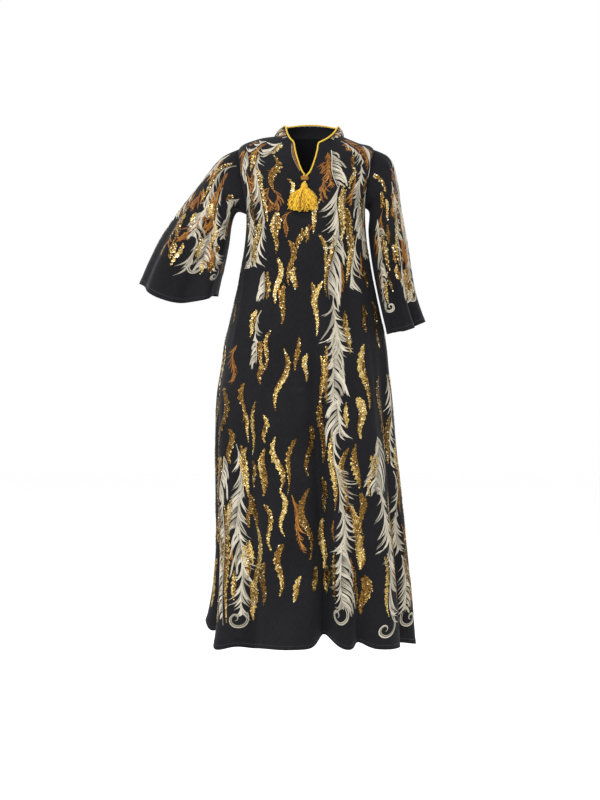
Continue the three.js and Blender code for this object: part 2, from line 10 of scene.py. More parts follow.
import bpy
import numpy as np
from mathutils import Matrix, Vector


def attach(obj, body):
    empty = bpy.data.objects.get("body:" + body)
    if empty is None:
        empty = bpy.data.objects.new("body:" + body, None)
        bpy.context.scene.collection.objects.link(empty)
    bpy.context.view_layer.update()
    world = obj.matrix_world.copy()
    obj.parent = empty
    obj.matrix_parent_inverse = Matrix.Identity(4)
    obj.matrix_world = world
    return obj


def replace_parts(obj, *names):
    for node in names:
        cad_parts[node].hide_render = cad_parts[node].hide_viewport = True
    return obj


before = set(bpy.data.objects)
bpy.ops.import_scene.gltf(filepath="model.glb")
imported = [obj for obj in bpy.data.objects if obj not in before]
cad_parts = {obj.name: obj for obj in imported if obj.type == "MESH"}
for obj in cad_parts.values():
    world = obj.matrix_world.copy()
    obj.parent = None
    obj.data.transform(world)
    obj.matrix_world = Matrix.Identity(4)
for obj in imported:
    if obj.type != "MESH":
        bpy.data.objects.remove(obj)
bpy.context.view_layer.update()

MM = 0.001

# ---- the camera ----
PHOTO_HEIGHT = 800  # pixels
FOCAL_PIXELS = 1229
SENSOR = 36.0
CAMERA_PLACE = (-0.015, -3.0725, -0.6525)
FLOOR_Z = -1.68  # the wearer's feet would stand here


def linked(name, data):
    """An object in the scene."""
    made = bpy.data.objects.new(name, data)
    bpy.context.scene.collection.objects.link(made)
    return made


def make_camera():
    data = bpy.data.cameras.new("camera")
    data.sensor_width = SENSOR
    data.lens = FOCAL_PIXELS / PHOTO_HEIGHT * SENSOR
    data.clip_end = 60
    camera = linked("camera", data)
    camera.location = CAMERA_PLACE
    camera.rotation_euler = (math.pi / 2, 0, 0)
    bpy.context.scene.camera = camera


make_camera()


# ---- the cloth's shape, with the part's own sizes ----
def table(text):
    """A table's columns, which its first line names."""
    names, *rows = (line.split() for line in text.strip().splitlines())
    return {
        name: [v if v.isalpha() else float(v) for v in column] for name, column in zip(names, zip(*rows))
    }


CLOTH = 1.5
SHELL = CLOTH * 0.7  # the visible cloth's thickness
ARMHOLE_OPEN = 24.0
UNDERARM_ROW, SHOULDER_ROW, NECK_ROW = 11.0, 14.0, 16.0
SLIT_ROW, SLIT_HALF_WIDTH, SLIT_ROUNDNESS = 13.25, 34.0, 0.42

BODY = table("""
z_left z_right z_front z_back left right front back square
-1240 -1250 -1240 -1246 -238 260 -176 168 0.03
-1150 -1152 -1152 -1152 -227 254 -172 162 0.03
-1026 -1026 -1026 -1026 -222 244 -164 154 0.03
-902 -902 -902 -902 -226 233 -156 146 0.03
-777 -777 -777 -777 -227 222 -149 139 0.03
-652 -652 -652 -652 -224 212 -142 132 0.03
-577 -577 -577 -577 -213 205 -137 126 0.03
-502 -502 -502 -502 -201 197 -131 119 0.03
-402 -402 -402 -402 -177 176 -122 108 0.03
-327 -327 -327 -327 -162 161 -123 103 0.04
-252 -245 -262 -255 -151 150 -129 105 0.05
-190 -175 -205 -193 -149 147 -132 109 0.07
-138 -128 -160 -142 -160 154 -127 112 0.09
-84 -80 -121 -98 -169 163 -117 110 0.09
-26 -27 -82 -54 -167 168 -102 100 0.06
-3 -12 -53 -18 -122 130 -87 84 0.02
4 3 -27 14 -79 94 -72 65 0
""")
BODY_FOLDS = table("""
angle top_angle top_row depth lift half_width
-94 -92 3 14 38 10
-75 -78 7.5 -26 22 6.5
-57 -60 8 19 -14 10
-35 -40 9 -17 -6 6
-15 -20 8.5 12 -1 12
8.5 7 8 -54 26 5.4
19 17 8 18 0 6.5
28 27 3 -27 12 4.5
44 42 8 22 -1 12
66 60 8.5 -24 2 7
83 80 7 14 -6 8
103 100 6 -18 8 7
119 116 8 20 -6 9
136 133 9 -28 12 7
153 150 8 20 -6 9
169 167 9.5 -26 10 7
-173 -175 7.5 20 -6 10
-154 -155 9 -30 14 7
-137 -135 8 20 -4 9
-116 -113 8.5 -24 14 8
""")
# Smaller creases that only the looks have: a soft trough or ridge from one end to the other.
BODY_CREASES = table("""
start_angle start_row end_angle end_row depth half_width
-48 10.8 -25 6.2 -3.6 4.5
-62 9.6 -48 4.2 3.4 5.0
-24 9.4 -22 2.6 -3.0 3.4
-12 7.6 -8 0.6 2.8 3.6
-2 9.8 1 4.5 3.0 4.4
15 10.2 13 3.0 3.2 3.8
24 9.0 23 1.4 -2.8 3.0
36 10.6 34 4.2 -3.4 4.2
50 9.0 54 1.8 -3.2 3.8
58 11.2 44 7.0 3.0 4.6
74 10.0 72 3.4 3.0 4.8
-70 11.4 -54 8.4 -3.0 5.0
-46 12.8 -34 10.6 -2.4 5.5
44 12.8 30 10.4 -2.6 5.5
-30 14.2 -52 12.2 2.2 6.0
28 14.2 50 12.3 2.2 6.0
-42 4.8 -46 0.4 -3.0 3.2
-26 3.6 -27 0.0 2.6 3.2
38 3.4 37 0.0 -2.8 3.0
53 2.8 54 0.0 2.4 3.0
96 9.8 94 3.6 3.0 4.6
112 9.0 110 2.2 -3.0 4.0
126 10.4 124 5.0 3.2 4.6
144 10.0 142 3.2 -3.4 3.8
160 10.6 158 4.6 3.0 4.2
178 9.2 178 2.0 -3.0 3.8
-164 10.2 -166 3.8 3.2 4.2
-146 9.8 -144 3.0 -3.0 4.0
-126 10.6 -128 4.4 3.2 4.6
-104 9.4 -105 2.6 -3.0 4.2
150 14.4 128 12.2 2.4 6.0
-150 14.4 -128 12.2 2.4 6.0
140 12.8 152 10.6 -2.4 5.5
-140 12.8 -152 10.6 -2.4 5.5
""")

ARMHOLE_BLEND = 0.35
SLEEVE_COLUMNS = "top_x top_z under_x under_z mid_y depth front_drop"
SLEEVE_FOLD_COLUMNS = "angle top_angle start depth half_width"
SLEEVE_CREASE_COLUMNS = "start_angle start_along end_angle end_along depth half_width"
SLEEVE_RIGHT = (
    table(SLEEVE_COLUMNS + """
-167 -26 -149 -190 3 48 0
-215 -51 -172 -184 5 60 0
-265 -112 -185 -210 8 68 2
-316 -177 -193 -262 11 76 8
-358 -238 -203 -308 12 84 18
-391 -300 -214 -348 8 90 28
-417 -362 -224 -390 2 96 40
"""),
    table(SLEEVE_FOLD_COLUMNS + """
28 40 0.2 -9 14
62 60 0.3 9 16
104 120 0.1 -13 13
136 150 0.15 12 13
205 200 0.3 10 13
238 225 0.2 -15 14
278 270 0.3 12 15
318 320 0.4 -12 14
"""),
    table(SLEEVE_CREASE_COLUMNS + """
160 0.05 95 0.36 -4.2 11
150 0.12 118 0.55 3.6 10
172 0.1 150 0.42 -3.4 9
40 0.02 70 0.3 3.0 14
80 0.25 84 0.85 -3.0 8
48 0.4 44 0.98 2.6 8
118 0.45 120 0.98 -2.8 7
200 0.05 262 0.4 -4.0 11
212 0.15 240 0.6 3.4 10
300 0.3 296 0.95 -3.0 8
340 0.35 338 0.9 2.6 8
"""),
)
SLEEVE_LEFT = (
    table(SLEEVE_COLUMNS + """
168 -27 147 -175 3 48 0
210 -50 158 -186 2 58 0
228 -106 156 -235 -2 66 0
239 -190 163 -300 -8 74 0
254 -285 174 -365 -12 82 2
268 -385 188 -430 -14 90 5
290 -460 202 -488 -14 98 10
"""),
    table(SLEEVE_FOLD_COLUMNS + """
22 24 0.35 7 12
52 60 0.3 -20 12
84 90 0.2 9 14
124 110 0.25 -10 14
228 240 0.3 -12 13
262 270 0.2 12 15
300 300 0.3 -16 13
332 336 0.4 8 12
"""),
    table(SLEEVE_CREASE_COLUMNS + """
165 0.04 100 0.32 -3.8 11
150 0.1 126 0.5 3.4 10
30 0.08 36 0.6 -2.8 9
70 0.2 70 0.75 3.0 8
98 0.35 104 0.95 -3.0 8
140 0.4 138 0.98 2.6 8
196 0.05 255 0.36 -3.8 11
215 0.2 232 0.65 3.2 9
280 0.25 280 0.9 -3.0 8
320 0.3 318 0.85 2.8 9
"""),
)

COLLAR_TOP = dict(z_left=30, z_right=27, z_front=-16, z_back=45, left=-57, right=84, front=-66, back=60)
COLLAR_BOW = 3.0
COLLAR_EASE = 2.0
COLLAR_CORNER = {"left": -53.0, "right": 81.0}


def places(*axes):
    """Points from their coordinates."""
    return np.stack(np.broadcast_arrays(*axes), axis=-1)


def unit(v):
    return v / (np.linalg.norm(v, axis=-1, keepdims=True) + 1e-12)


def run(points, axis=0):
    """Lengths along an axis of points, from its first one."""
    steps = np.diff(points, axis=axis, prepend=np.take(points, [0], axis=axis))
    return np.cumsum(np.linalg.norm(steps, axis=-1), axis=axis)


def sin_cos(angle):
    return np.sin(np.radians(angle)), np.cos(np.radians(angle))


def smoothstep(x):
    t = np.clip(x, 0, 1)
    return t * t * (3 - 2 * t)


def turn(a, b):
    """How far apart two angles are, from -180 to 180 degrees."""
    return (a - b + 180) % 360 - 180


def columns_at(columns, row):
    """A table's columns at rows between its rows, on a Catmull-Rom curve."""
    values = np.array(list(columns.values())).T
    last = len(values) - 1
    i = np.clip(np.floor(row).astype(int), 0, last - 1)
    f = (row - i)[..., None]
    a, b, c, d = (values[np.clip(i + k, 0, last)] for k in (-1, 0, 1, 2))
    curve = b + 0.5 * f * (c - a + f * (2 * a - 5 * b + 4 * c - d + f * (3 * (b - c) + d - a)))
    return {name: curve[..., k] for k, name in enumerate(columns)}


def fold_share(angle_at_end, top_angle, half_width, angle, grown):
    centre = top_angle + turn(angle_at_end, top_angle) * grown
    off = turn(angle, centre) / half_width
    return np.clip(grown, 0, None) ** 1.25 * np.exp(-off * off)


def creased(creases, angle, place):
    """How far the creases push the cloth out: each is soft at its sides and at both ends."""
    outward = 0
    for start_angle, start, end_angle, end, depth, half_width in zip(*creases.values()):
        along = (place - start) / (end - start)
        centre = start_angle + turn(end_angle, start_angle) * np.clip(along, -0.2, 1.2)
        off = turn(angle, centre) / half_width
        window = smoothstep((along + 0.15) / 0.4) * smoothstep((1.15 - along) / 0.4)
        outward = outward + depth * window * np.exp(-off * off)
    return outward


def ring_point(s, angle, outward):
    sin, cos = sin_cos(angle)
    a, b = (s["right"] - s["left"]) / 2, (s["back"] - s["front"]) / 2
    swell = 1 + s["square"] * (2 * sin * cos) ** 2
    nx, ny = sin / a, -cos / b
    size = np.hypot(nx, ny)
    side = np.where(sin < 0, s["z_left"], s["z_right"])
    middle = np.where(cos > 0, s["z_front"], s["z_back"])
    return places(
        (s["right"] + s["left"]) / 2 + a * sin * swell + nx / size * outward,
        (s["back"] + s["front"]) / 2 - b * cos * swell + ny / size * outward,
        side * sin * sin + middle * cos * cos,
    )


def ring_angle(s, x):
    """The angle round a ring at which its front has this x."""
    return np.degrees(np.arcsin((x - (s["right"] + s["left"]) / 2) / ((s["right"] - s["left"]) / 2)))


def body_point(angle, row, creases=BODY_CREASES):
    angle, row = np.broadcast_arrays(np.asarray(angle, float), np.asarray(row, float))
    outward, lift = np.zeros(row.shape), np.zeros(row.shape)
    for end, top_angle, top_row, depth, rise, half_width in zip(*BODY_FOLDS.values()):
        share = fold_share(end, top_angle, half_width, angle, 1 - row / top_row)
        outward += depth * share
        lift += rise * share
    if creases:
        outward += creased(creases, angle, row)
    point = ring_point(columns_at(BODY, row), angle, outward)
    point[..., 2] += lift
    return point


def plain_body(angle, row):
    return body_point(angle, row, None)


def front_angle(row, x):
    return ring_angle(columns_at(BODY, np.asarray(row, float)), x)


def slit_half_width(row):
    share = np.clip((row - SLIT_ROW) / (NECK_ROW - SLIT_ROW), 0, 1)
    return SLIT_HALF_WIDTH * share**SLIT_ROUNDNESS


def side_reach(row):
    share = 2 * (row - UNDERARM_ROW) / (SHOULDER_ROW - UNDERARM_ROW) - 1
    return ARMHOLE_OPEN * np.sqrt(np.clip(1 - share * share, 0, 1))


def sleeve_point(sign, tables, angle, along):
    rings, folds, creases = tables
    angle, along = np.broadcast_arrays(np.asarray(angle, float), np.asarray(along, float))
    sin, cos = sin_cos(angle)

    def ring(at):
        s = columns_at(rings, at * (len(rings["depth"]) - 1))
        half_x, half_z = (s["top_x"] - s["under_x"]) / 2, (s["top_z"] - s["under_z"]) / 2
        length = np.hypot(half_x, half_z)
        outward = creased(creases, angle, at)
        for end, top_angle, start, depth, half_width in zip(*folds.values()):
            outward += depth * fold_share(end, top_angle, half_width, angle, (at - start) / (1 - start))
        nx, nz, ny = half_x / length**2 * cos, half_z / length**2 * cos, -sin / s["depth"]
        size = np.sqrt(nx * nx + ny * ny + nz * nz)
        drop = s["front_drop"] * np.clip(sin, 0, 1) * sin
        return places(
            (s["top_x"] + s["under_x"]) / 2 + half_x * cos + nx / size * outward,
            s["mid_y"] - s["depth"] * sin + ny / size * outward,
            (s["top_z"] + s["under_z"]) / 2 + half_z * cos - drop + nz / size * outward,
        )

    row = UNDERARM_ROW + (SHOULDER_ROW - UNDERARM_ROW) * (1 + cos) / 2
    edge = body_point(sign * (90 - ARMHOLE_OPEN * sin), row)
    left = (1 - smoothstep(along / ARMHOLE_BLEND))[..., None]
    return ring(along) + left * (edge - ring(np.zeros(along.shape)))


def collar_point(share, height):
    share, height = np.broadcast_arrays(np.asarray(share, float), np.asarray(height, float))
    base = columns_at(BODY, np.full(height.shape, NECK_ROW))
    s = {k: base[k] + (v - base[k]) * height for k, v in COLLAR_TOP.items()}
    s["square"] = 0.0

    def corner(side, sign):
        foot = sign * (SLIT_HALF_WIDTH + COLLAR_EASE)
        return ring_angle(s, foot + (COLLAR_CORNER[side] - foot) * height)

    start, end = corner("right", 1), 360 + corner("left", -1)
    return ring_point(s, start + (end - start) * share, COLLAR_BOW * 4 * height * (1 - height))


# ---- meshes ----
def make_mesh(name, vertices, faces, material, uv=None, tint=None, smooth=True):
    """A piece of these vertices and flat places, in millimetres. faces are arrays of one size each."""
    mesh = bpy.data.meshes.new(name)
    sizes = np.concatenate([np.full(len(g), g.shape[1]) for g in faces]).astype(np.int32)
    corners = np.concatenate([g.ravel() for g in faces]).astype(np.int32)
    mesh.vertices.add(len(vertices))
    mesh.vertices.foreach_set("co", (np.asarray(vertices) * MM).astype(np.float32).ravel())
    mesh.loops.add(len(corners))
    mesh.loops.foreach_set("vertex_index", corners)
    mesh.polygons.add(len(sizes))
    starts = np.concatenate([[0], np.cumsum(sizes)[:-1]]).astype(np.int32)
    mesh.polygons.foreach_set("loop_start", starts)
    mesh.polygons.foreach_set("loop_total", sizes)
    if uv is not None:
        layer = mesh.uv_layers.new(name="cloth")
        layer.data.foreach_set("uv", (uv * MM).astype(np.float32)[corners].ravel())
    if tint is not None:
        layer = mesh.attributes.new("tint", "FLOAT", "POINT")
        layer.data.foreach_set("value", np.asarray(tint, np.float32))
    mesh.polygons.foreach_set("use_smooth", np.full(len(sizes), smooth))
    mesh.update(calc_edges=True)
    mesh.validate()
    mesh.materials.append(material)
    piece = linked(name, mesh)
    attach(piece, "root")
    return piece


def grid_normals(points, closed=False):
    """Outward normals of a grid of points, whose last column is its first one again when closed."""
    if closed:
        ring = points[:, :-1]
        across = np.roll(ring, -1, axis=1) - np.roll(ring, 1, axis=1)
        across = np.concatenate([across, across[:, :1]], axis=1)
    else:
        across = np.gradient(points, axis=1)
    return unit(np.cross(across, np.gradient(points, axis=0)))


def grid_ids(points):
    return np.arange(points[..., 0].size).reshape(points.shape[:-1])


def grid_quads(ids):
    """The faces between neighbours in the last two axes of these point numbers."""
    corners = ids[..., :-1, :-1], ids[..., :-1, 1:], ids[..., 1:, 1:], ids[..., 1:, :-1]
    return np.stack(corners, axis=-1).reshape(-1, 4)


def shell(name, points, normals, across, down, quads, material=None, thickness=SHELL):
    """A thin shell: the outer points, a layer below them, and a rim round every open edge."""
    used, quads = np.unique(quads, return_inverse=True)
    quads = quads.reshape(-1, 4)
    flat = places(across, down[:, None]).reshape(-1, 2)[used]
    points, normals = points.reshape(-1, 3)[used], normals.reshape(-1, 3)[used]
    count = len(points)
    edge = np.concatenate([quads[:, [k, (k + 1) % 4]] for k in range(4)])
    there, back = edge @ (count, 1), edge @ (1, count)
    rim = edge[~np.isin(there, back)]
    sides = np.stack([rim[:, 1], rim[:, 0], rim[:, 0] + count, rim[:, 1] + count], axis=1)
    faces = np.concatenate([quads, quads[:, ::-1] + count, sides])
    both = np.concatenate([points, points - normals * thickness])
    return make_mesh(name, both, [faces], material or CREPE, np.tile(flat, (2, 1)))


def smooth_line(points, count):
    """Points at equal steps along a centripetal Catmull-Rom curve through these points."""
    u = np.cumsum(np.linalg.norm(np.diff(points, axis=0, prepend=points[:1]), axis=1) ** 0.5)
    h = np.diff(u)[:, None]
    slopes = np.diff(points, axis=0) / h
    inner = (slopes[:-1] * h[1:] + slopes[1:] * h[:-1]) / (h[:-1] + h[1:])
    tangents = np.concatenate([slopes[:1], inner, slopes[-1:]])
    fine = np.linspace(0, u[-1], count * 6)
    i = np.clip(np.searchsorted(u, fine, side="right") - 1, 0, len(h) - 1)
    t = ((fine - u[i]) / h[i, 0])[:, None]
    curve = (
        points[i] * (2 * t**3 - 3 * t**2 + 1)
        + tangents[i] * h[i] * (t**3 - 2 * t**2 + t)
        + points[i + 1] * (3 * t**2 - 2 * t**3)
        + tangents[i + 1] * h[i] * (t**3 - t**2)
    )
    length = run(curve)
    wanted = np.linspace(0, length[-1], count)
    return places(*(np.interp(wanted, length, axis) for axis in curve.T)), length[-1]


# ---- flat cloth ----
FLAT_STEP = 3.0  # between the places that a row is looked up at


class Flat:
    """A sheet's flat places: (across, down) on the cloth to a point in space, and angles to across."""

    def __init__(self, points, normals, across, down, angles, gap=0.0):
        reach = np.abs(across).max() + 2 * FLAT_STEP
        self.places = np.arange(-reach, reach, FLAT_STEP)
        order = np.argsort(down)
        self.down, self.across, self.angles = down[order], across[order], angles[order]
        self.points, self.normals = (
            np.array([[np.interp(self.places, across[r], axis) for axis in grid[r].T] for r in order])
            for grid in (points, normals)
        )
        self.points, self.normals = self.points.swapaxes(1, 2), self.normals.swapaxes(1, 2)
        self.low, self.high = self.across.min(axis=1), self.across.max(axis=1)
        self.gap = np.broadcast_to(gap, len(down))[order]

    def row(self, down):
        row = np.interp(down, self.down, np.arange(len(self.down)))
        r = np.clip(row.astype(int), 0, len(self.down) - 2)
        return r, row - r

    def ends(self, down):
        return np.interp(down, self.down, self.low), np.interp(down, self.down, self.high)

    def at(self, spots, raised=0.0):
        """The points at flat places, raised off the cloth, and the normals there."""
        r, f = self.row(spots[..., 1])
        column = (spots[..., 0] - self.places[0]) / FLAT_STEP
        c = np.clip(column.astype(int), 0, len(self.places) - 2)
        f, g = f[..., None], np.clip(column - c, 0, 1)[..., None]

        def blend(grid):
            low = grid[r, c] * (1 - g) + grid[r, c + 1] * g
            high = grid[r + 1, c] * (1 - g) + grid[r + 1, c + 1] * g
            return low * (1 - f) + high * f

        normal = unit(blend(self.normals))
        return blend(self.points) + normal * np.asarray(raised)[..., None], normal

    def holds(self, spots, margin):
        """Which flat places lie on the cloth, that far from its edges."""
        across, down = spots[..., 0], spots[..., 1]
        low, high = self.ends(down)
        gap = np.interp(down, self.down, self.gap)
        inside = (across > low + margin) & (across < high - margin) & (down > self.down[0] + margin)
        return inside & (down < self.down[-1] - margin) & ((gap == 0) | (np.abs(across) > gap + margin))

    def across_at(self, angle, down):
        """The place across at which an angle round the garment lies, that far down."""
        r, f = self.row(np.asarray(down, float))
        low, high = (np.interp(angle, self.angles[i], self.across[i]) for i in (r, r + 1))
        return (1 - f) * low + f * high

    def cut_size(self, area):
        """The smallest rectangle that the sheet is cut from, in metres, and its area in that."""
        width, length = (self.high - self.low).max() * MM, (self.down[-1] - self.down[0]) * MM
        return (round(float(width), 3), round(float(length), 3)), round(float(min(area, width * length)), 4)


# ---- materials ----
class Look:
    """A material's node tree, on the cloth's flat places or the object's own."""

    def __init__(self, name, own_place=False, **sockets):
        self.material = bpy.data.materials.new(name)
        self.material.use_nodes = True
        self.tree = self.material.node_tree
        self.shader = self.tree.nodes["Principled BSDF"]
        for key, value in sockets.items():
            self.shader.inputs[key.replace("_", " ")].default_value = value
        if own_place:
            self.place = self.node("TexCoord").outputs["Object"]
        else:
            self.place = self.node("UVMap", uv_map="cloth").outputs[0]

    def node(self, kind, inputs=(), **settings):
        """A node with these settings; inputs are pairs of a socket and what it links to or holds."""
        node = self.tree.nodes.new("ShaderNode" + kind)
        for key, value in settings.items():
            setattr(node, key, value)
        for socket, value in inputs:
            if isinstance(value, bpy.types.NodeSocket):
                self.tree.links.new(value, node.inputs[socket])
            else:
                node.inputs[socket].default_value = value
        return node

    def tint(self):
        return self.node("Attribute", attribute_name="tint").outputs["Fac"]

    def noise(self, scale, stretch=(1, 1, 1), detail=3.0):
        """Noise of a scale per metre of cloth, stretched by a share along each axis."""
        scaled = [("Vector", self.place), ("Scale", [scale * s for s in stretch])]
        inputs = [("Vector", self.node("Mapping", scaled).outputs[0]), ("Scale", 1.0), ("Detail", detail)]
        return self.node("TexNoise", inputs).outputs["Fac"]

    def mixed(self, a, b, share):
        """The mean of a and b, in which b counts by its share."""
        first = self.node("Math", [(0, a), (1, 1 / (1 + share))], operation="MULTIPLY").outputs[0]
        inputs = [(0, b), (1, share / (1 + share)), (2, first)]
        return self.node("Math", inputs, operation="MULTIPLY_ADD").outputs[0]

    def finish(self, tone, stops, rough=None, relief=None):
        """The material, with its colour from tone, its roughness from rough's factor spread between
        two values, and relief from a height in metres and its strength."""
        ramp = self.node("ValToRGB", [("Fac", tone)])
        elements = ramp.color_ramp.elements
        while len(elements) < len(stops):
            elements.new(0.5)
        for element, (position, color) in zip(elements, stops):
            element.position = position
            element.color = (*color, 1)
        self.tree.links.new(ramp.outputs["Color"], self.shader.inputs["Base Color"])
        if rough:
            factor, low, high = rough
            inputs = [("Value", factor), ("From Min", 0.3), ("From Max", 0.7)]
            inputs += [("To Min", low), ("To Max", high)]
            self.tree.links.new(self.node("MapRange", inputs).outputs[0], self.shader.inputs["Roughness"])
        if relief:
            inputs = zip(("Height", "Distance", "Strength"), relief)
            self.tree.links.new(self.node("Bump", inputs).outputs[0], self.shader.inputs["Normal"])
        return self.material


def crepe_material():
    """Matte black crepe: a fine grain, and crinkles that run down the cloth."""
    sheen = dict(Sheen_Weight=0.03, Sheen_Roughness=0.5, Sheen_Tint=(0.8, 0.82, 0.9, 1))
    look = Look("crepe_black", Specular_IOR_Level=0.13, **sheen)
    crinkle = look.noise(700, (1, 0.12, 1))
    grain = look.noise(1500, (1, 0.7, 1), 2.0)
    tone = look.mixed(look.mixed(look.noise(9, (1, 0.6, 1)), crinkle, 0.5), grain, 0.5)
    stops = [(0.36, (0.0030, 0.0030, 0.0039)), (0.64, (0.0088, 0.0088, 0.0106))]
    return look.finish(tone, stops, (crinkle, 0.95, 0.75), (look.mixed(crinkle, grain, 0.5), 0.0007, 0.6))


def thread_material(name, stops, rough, sheen, pitch=0.0006):
    """Satin stitch: threads side by side across a motif, each a little different."""
    look = Look(name, Sheen_Weight=sheen, Sheen_Roughness=0.4, Specular_IOR_Level=0.25)
    fine = look.noise(1300, (0.25, 1, 1), 2.0)
    wave = [("Vector", look.place), ("Scale", math.pi / (10 * pitch)), ("Distortion", 1.5), ("Detail", 1.0)]
    stitches = look.node("TexWave", wave, bands_direction="Y").outputs["Fac"]
    relief = look.mixed(stitches, fine, 0.6), 0.00025, 0.7
    return look.finish(look.mixed(look.tint(), fine, 0.35), stops, (fine, rough - 0.1, rough + 0.1), relief)


def sequin_material():
    """Small metallic cups, from copper brown to light gold, with a near-white painted glint at the top of
    the ramp; tint picks each one's colour.
    """
    look = Look("sequins", Metallic=0.85, Specular_IOR_Level=0.6)
    stops = [
        (0.0, (0.06, 0.030, 0.006)),
        (0.4, (0.17, 0.085, 0.014)),
        (0.55, (0.29, 0.185, 0.042)),
        (0.85, (0.50, 0.365, 0.130)),
        # painted glint: a near-white gold colour for the sequins that stand in for caught light
        (1.0, (0.93, 0.880, 0.700)),
    ]
    wear = look.noise(260, detail=2.0)
    relief = look.noise(900, detail=1.0), 0.00008, 0.3
    return look.finish(look.mixed(look.tint(), wear, 0.08), stops, (wear, 0.2, 0.38), relief)


def yarn_material(name, stops, rough, pitch):
    """Twisted yarn: fine fibres that slant round each strand."""
    look = Look(name, Sheen_Weight=0.12, Sheen_Roughness=0.5, Specular_IOR_Level=0.3)
    fibres = look.noise(1.0 / pitch, (1, 0.35, 1))
    tone = look.mixed(look.tint(), fibres, 0.4)
    return look.finish(tone, stops, (fibres, rough + 0.1, rough - 0.1), (fibres, 0.0003, 0.6))


def gilt_material():
    look = Look("bead_gilt", own_place=True, Metallic=0.95, Specular_IOR_Level=0.6)
    wear = look.noise(700, detail=2.0)
    stops = [(0.3, (0.55, 0.33, 0.07)), (0.7, (0.82, 0.60, 0.22))]
    return look.finish(wear, stops, (wear, 0.2, 0.4), (wear, 0.0001, 0.4))


CREPE = crepe_material()
IVORY = thread_material(
    "thread_ivory",
    [(0.1, (0.14, 0.127, 0.094)), (0.5, (0.36, 0.325, 0.25)), (1.0, (0.56, 0.515, 0.415))],
    0.55,
    0.3,
)
COPPER = thread_material(
    "thread_copper",
    [(0.1, (0.10, 0.029, 0.001)), (0.6, (0.22, 0.080, 0.004)), (1.0, (0.36, 0.165, 0.018))],
    0.42,
    0.0,
)
FACING = thread_material(
    "facing_satin",
    [(0.1, (0.10, 0.05, 0.02)), (0.6, (0.20, 0.10, 0.035)), (1.0, (0.42, 0.30, 0.16))],
    0.5,
    0.2,
)
SEQUINS = sequin_material()
CORD = yarn_material("cord_yarn", [(0.1, (0.44, 0.26, 0.008)), (0.9, (0.77, 0.53, 0.04))], 0.5, 0.0012)
YARN = yarn_material(
    "tassel_yarn",
    [(0.1, (0.20, 0.08, 0.002)), (0.4, (0.50, 0.26, 0.006)), (0.9, (0.84, 0.55, 0.03))],
    0.6,
    0.0009,
)
KNOT = yarn_material("knot_thread", [(0.1, (0.10, 0.03, 0.002)), (0.9, (0.40, 0.17, 0.008))], 0.4, 0.0008)
GILT = gilt_material()
SEAM_THREAD = yarn_material(
    "seam_thread", [(0.1, (0.02, 0.02, 0.023)), (0.9, (0.05, 0.05, 0.055))], 0.6, 0.001
)


# ---- the cloth's pieces ----
HEM_FOLD = 11.0  # depth of the turned-up hem
HEM_RIDGE = 0.5  # how far it stands out
HALF_FRONT, WHOLE_BACK, SLEEVE_ROUND = 66, 108, 120  # columns of points
SLIT_ROWS = [13.26, 13.275, 13.29, 13.31, 13.34, 13.38, 13.43, 13.5]  # closer, at the slit's point


def body_rows(extra=()):
    armhole = (1 - np.cos(np.linspace(0, math.pi, 41))) / 2
    rows = [
        np.linspace(0, 0.14, 8),
        np.linspace(0, 5, 71),
        np.linspace(5, UNDERARM_ROW, 53),
        UNDERARM_ROW + (SHOULDER_ROW - UNDERARM_ROW) * armhole,
        np.linspace(SHOULDER_ROW, NECK_ROW, 27),
        extra,
    ]
    return np.unique(np.round(np.concatenate(rows), 4))


def hem_angles(start, end, count):
    """Angles that cut the hem between two angles into equal lengths of cloth."""
    fine = np.linspace(start, end, 1500)
    lengths = run(plain_body(fine, 0.0))
    return np.interp(np.linspace(0, lengths[-1], count + 1), lengths, fine)


def depths(points):
    """How far each row lies down the cloth from the last one, as a mean over its columns."""
    down = run(points).mean(axis=1)
    return down[-1] - down


def with_hem(points, normals, down):
    """The hem's turned-up fold, as a low ridge along the edge."""
    ridge = HEM_RIDGE * smoothstep((HEM_FOLD + 1.5 - down.max() + down) / 3)
    return points + normals * ridge[:, None, None]


def cut(points):
    """The area of one layer of the cloth, in square metres."""
    low, high = points[:-1], points[1:]
    first = np.cross(low[:, 1:] - low[:, :-1], high[:, :-1] - low[:, :-1])
    second = np.cross(high[:, :-1] - high[:, 1:], low[:, 1:] - high[:, 1:])
    return float((np.linalg.norm(first, axis=-1) + np.linalg.norm(second, axis=-1)).sum()) / 2 * MM * MM


def front_cloth():
    """The front: two halves, which share their middle column below the slit."""
    rows = body_rows(SLIT_ROWS)
    middle, opened = front_angle(0.0, 0.0), slit_half_width(rows)
    last, first = HALF_FRONT, HALF_FRONT + 1
    angles = []
    for sign, start, end in ((-1, -90, middle), (1, middle, 90)):
        hem = hem_angles(start, end, HALF_FRONT)
        ends = [sign * (90 - side_reach(rows)), front_angle(rows, sign * opened)][::-sign]
        angles.append(ends[0][:, None] + (ends[1] - ends[0])[:, None] * (hem - hem[0]) / (hem[-1] - hem[0]))
    angles = np.concatenate(angles, axis=1)
    points = body_point(angles, rows[:, None])
    normals = np.concatenate([grid_normals(points[:, :first]), grid_normals(points[:, first:])], axis=1)
    whole, shared = np.delete(points, first, axis=1), opened == 0
    normals[shared, last] = normals[shared, first] = grid_normals(whole)[shared, last]
    down = depths(whole)
    points = with_hem(points, normals, down)
    left, right = run(points[:, :first], 1), run(points[:, first:], 1)
    across = np.concatenate([left - left[:, -1:] - opened[:, None], right + opened[:, None]], axis=1)
    ids = grid_ids(points)
    ids[shared, first] = ids[shared, last]
    quads = np.concatenate([grid_quads(ids[:, :first]), grid_quads(ids[:, first:])])
    piece = shell("front_cloth", points, normals, across, down, quads)
    area = cut(points[:, :first]) + cut(points[:, first:])
    return piece, Flat(points, normals, across, down, angles, opened), area


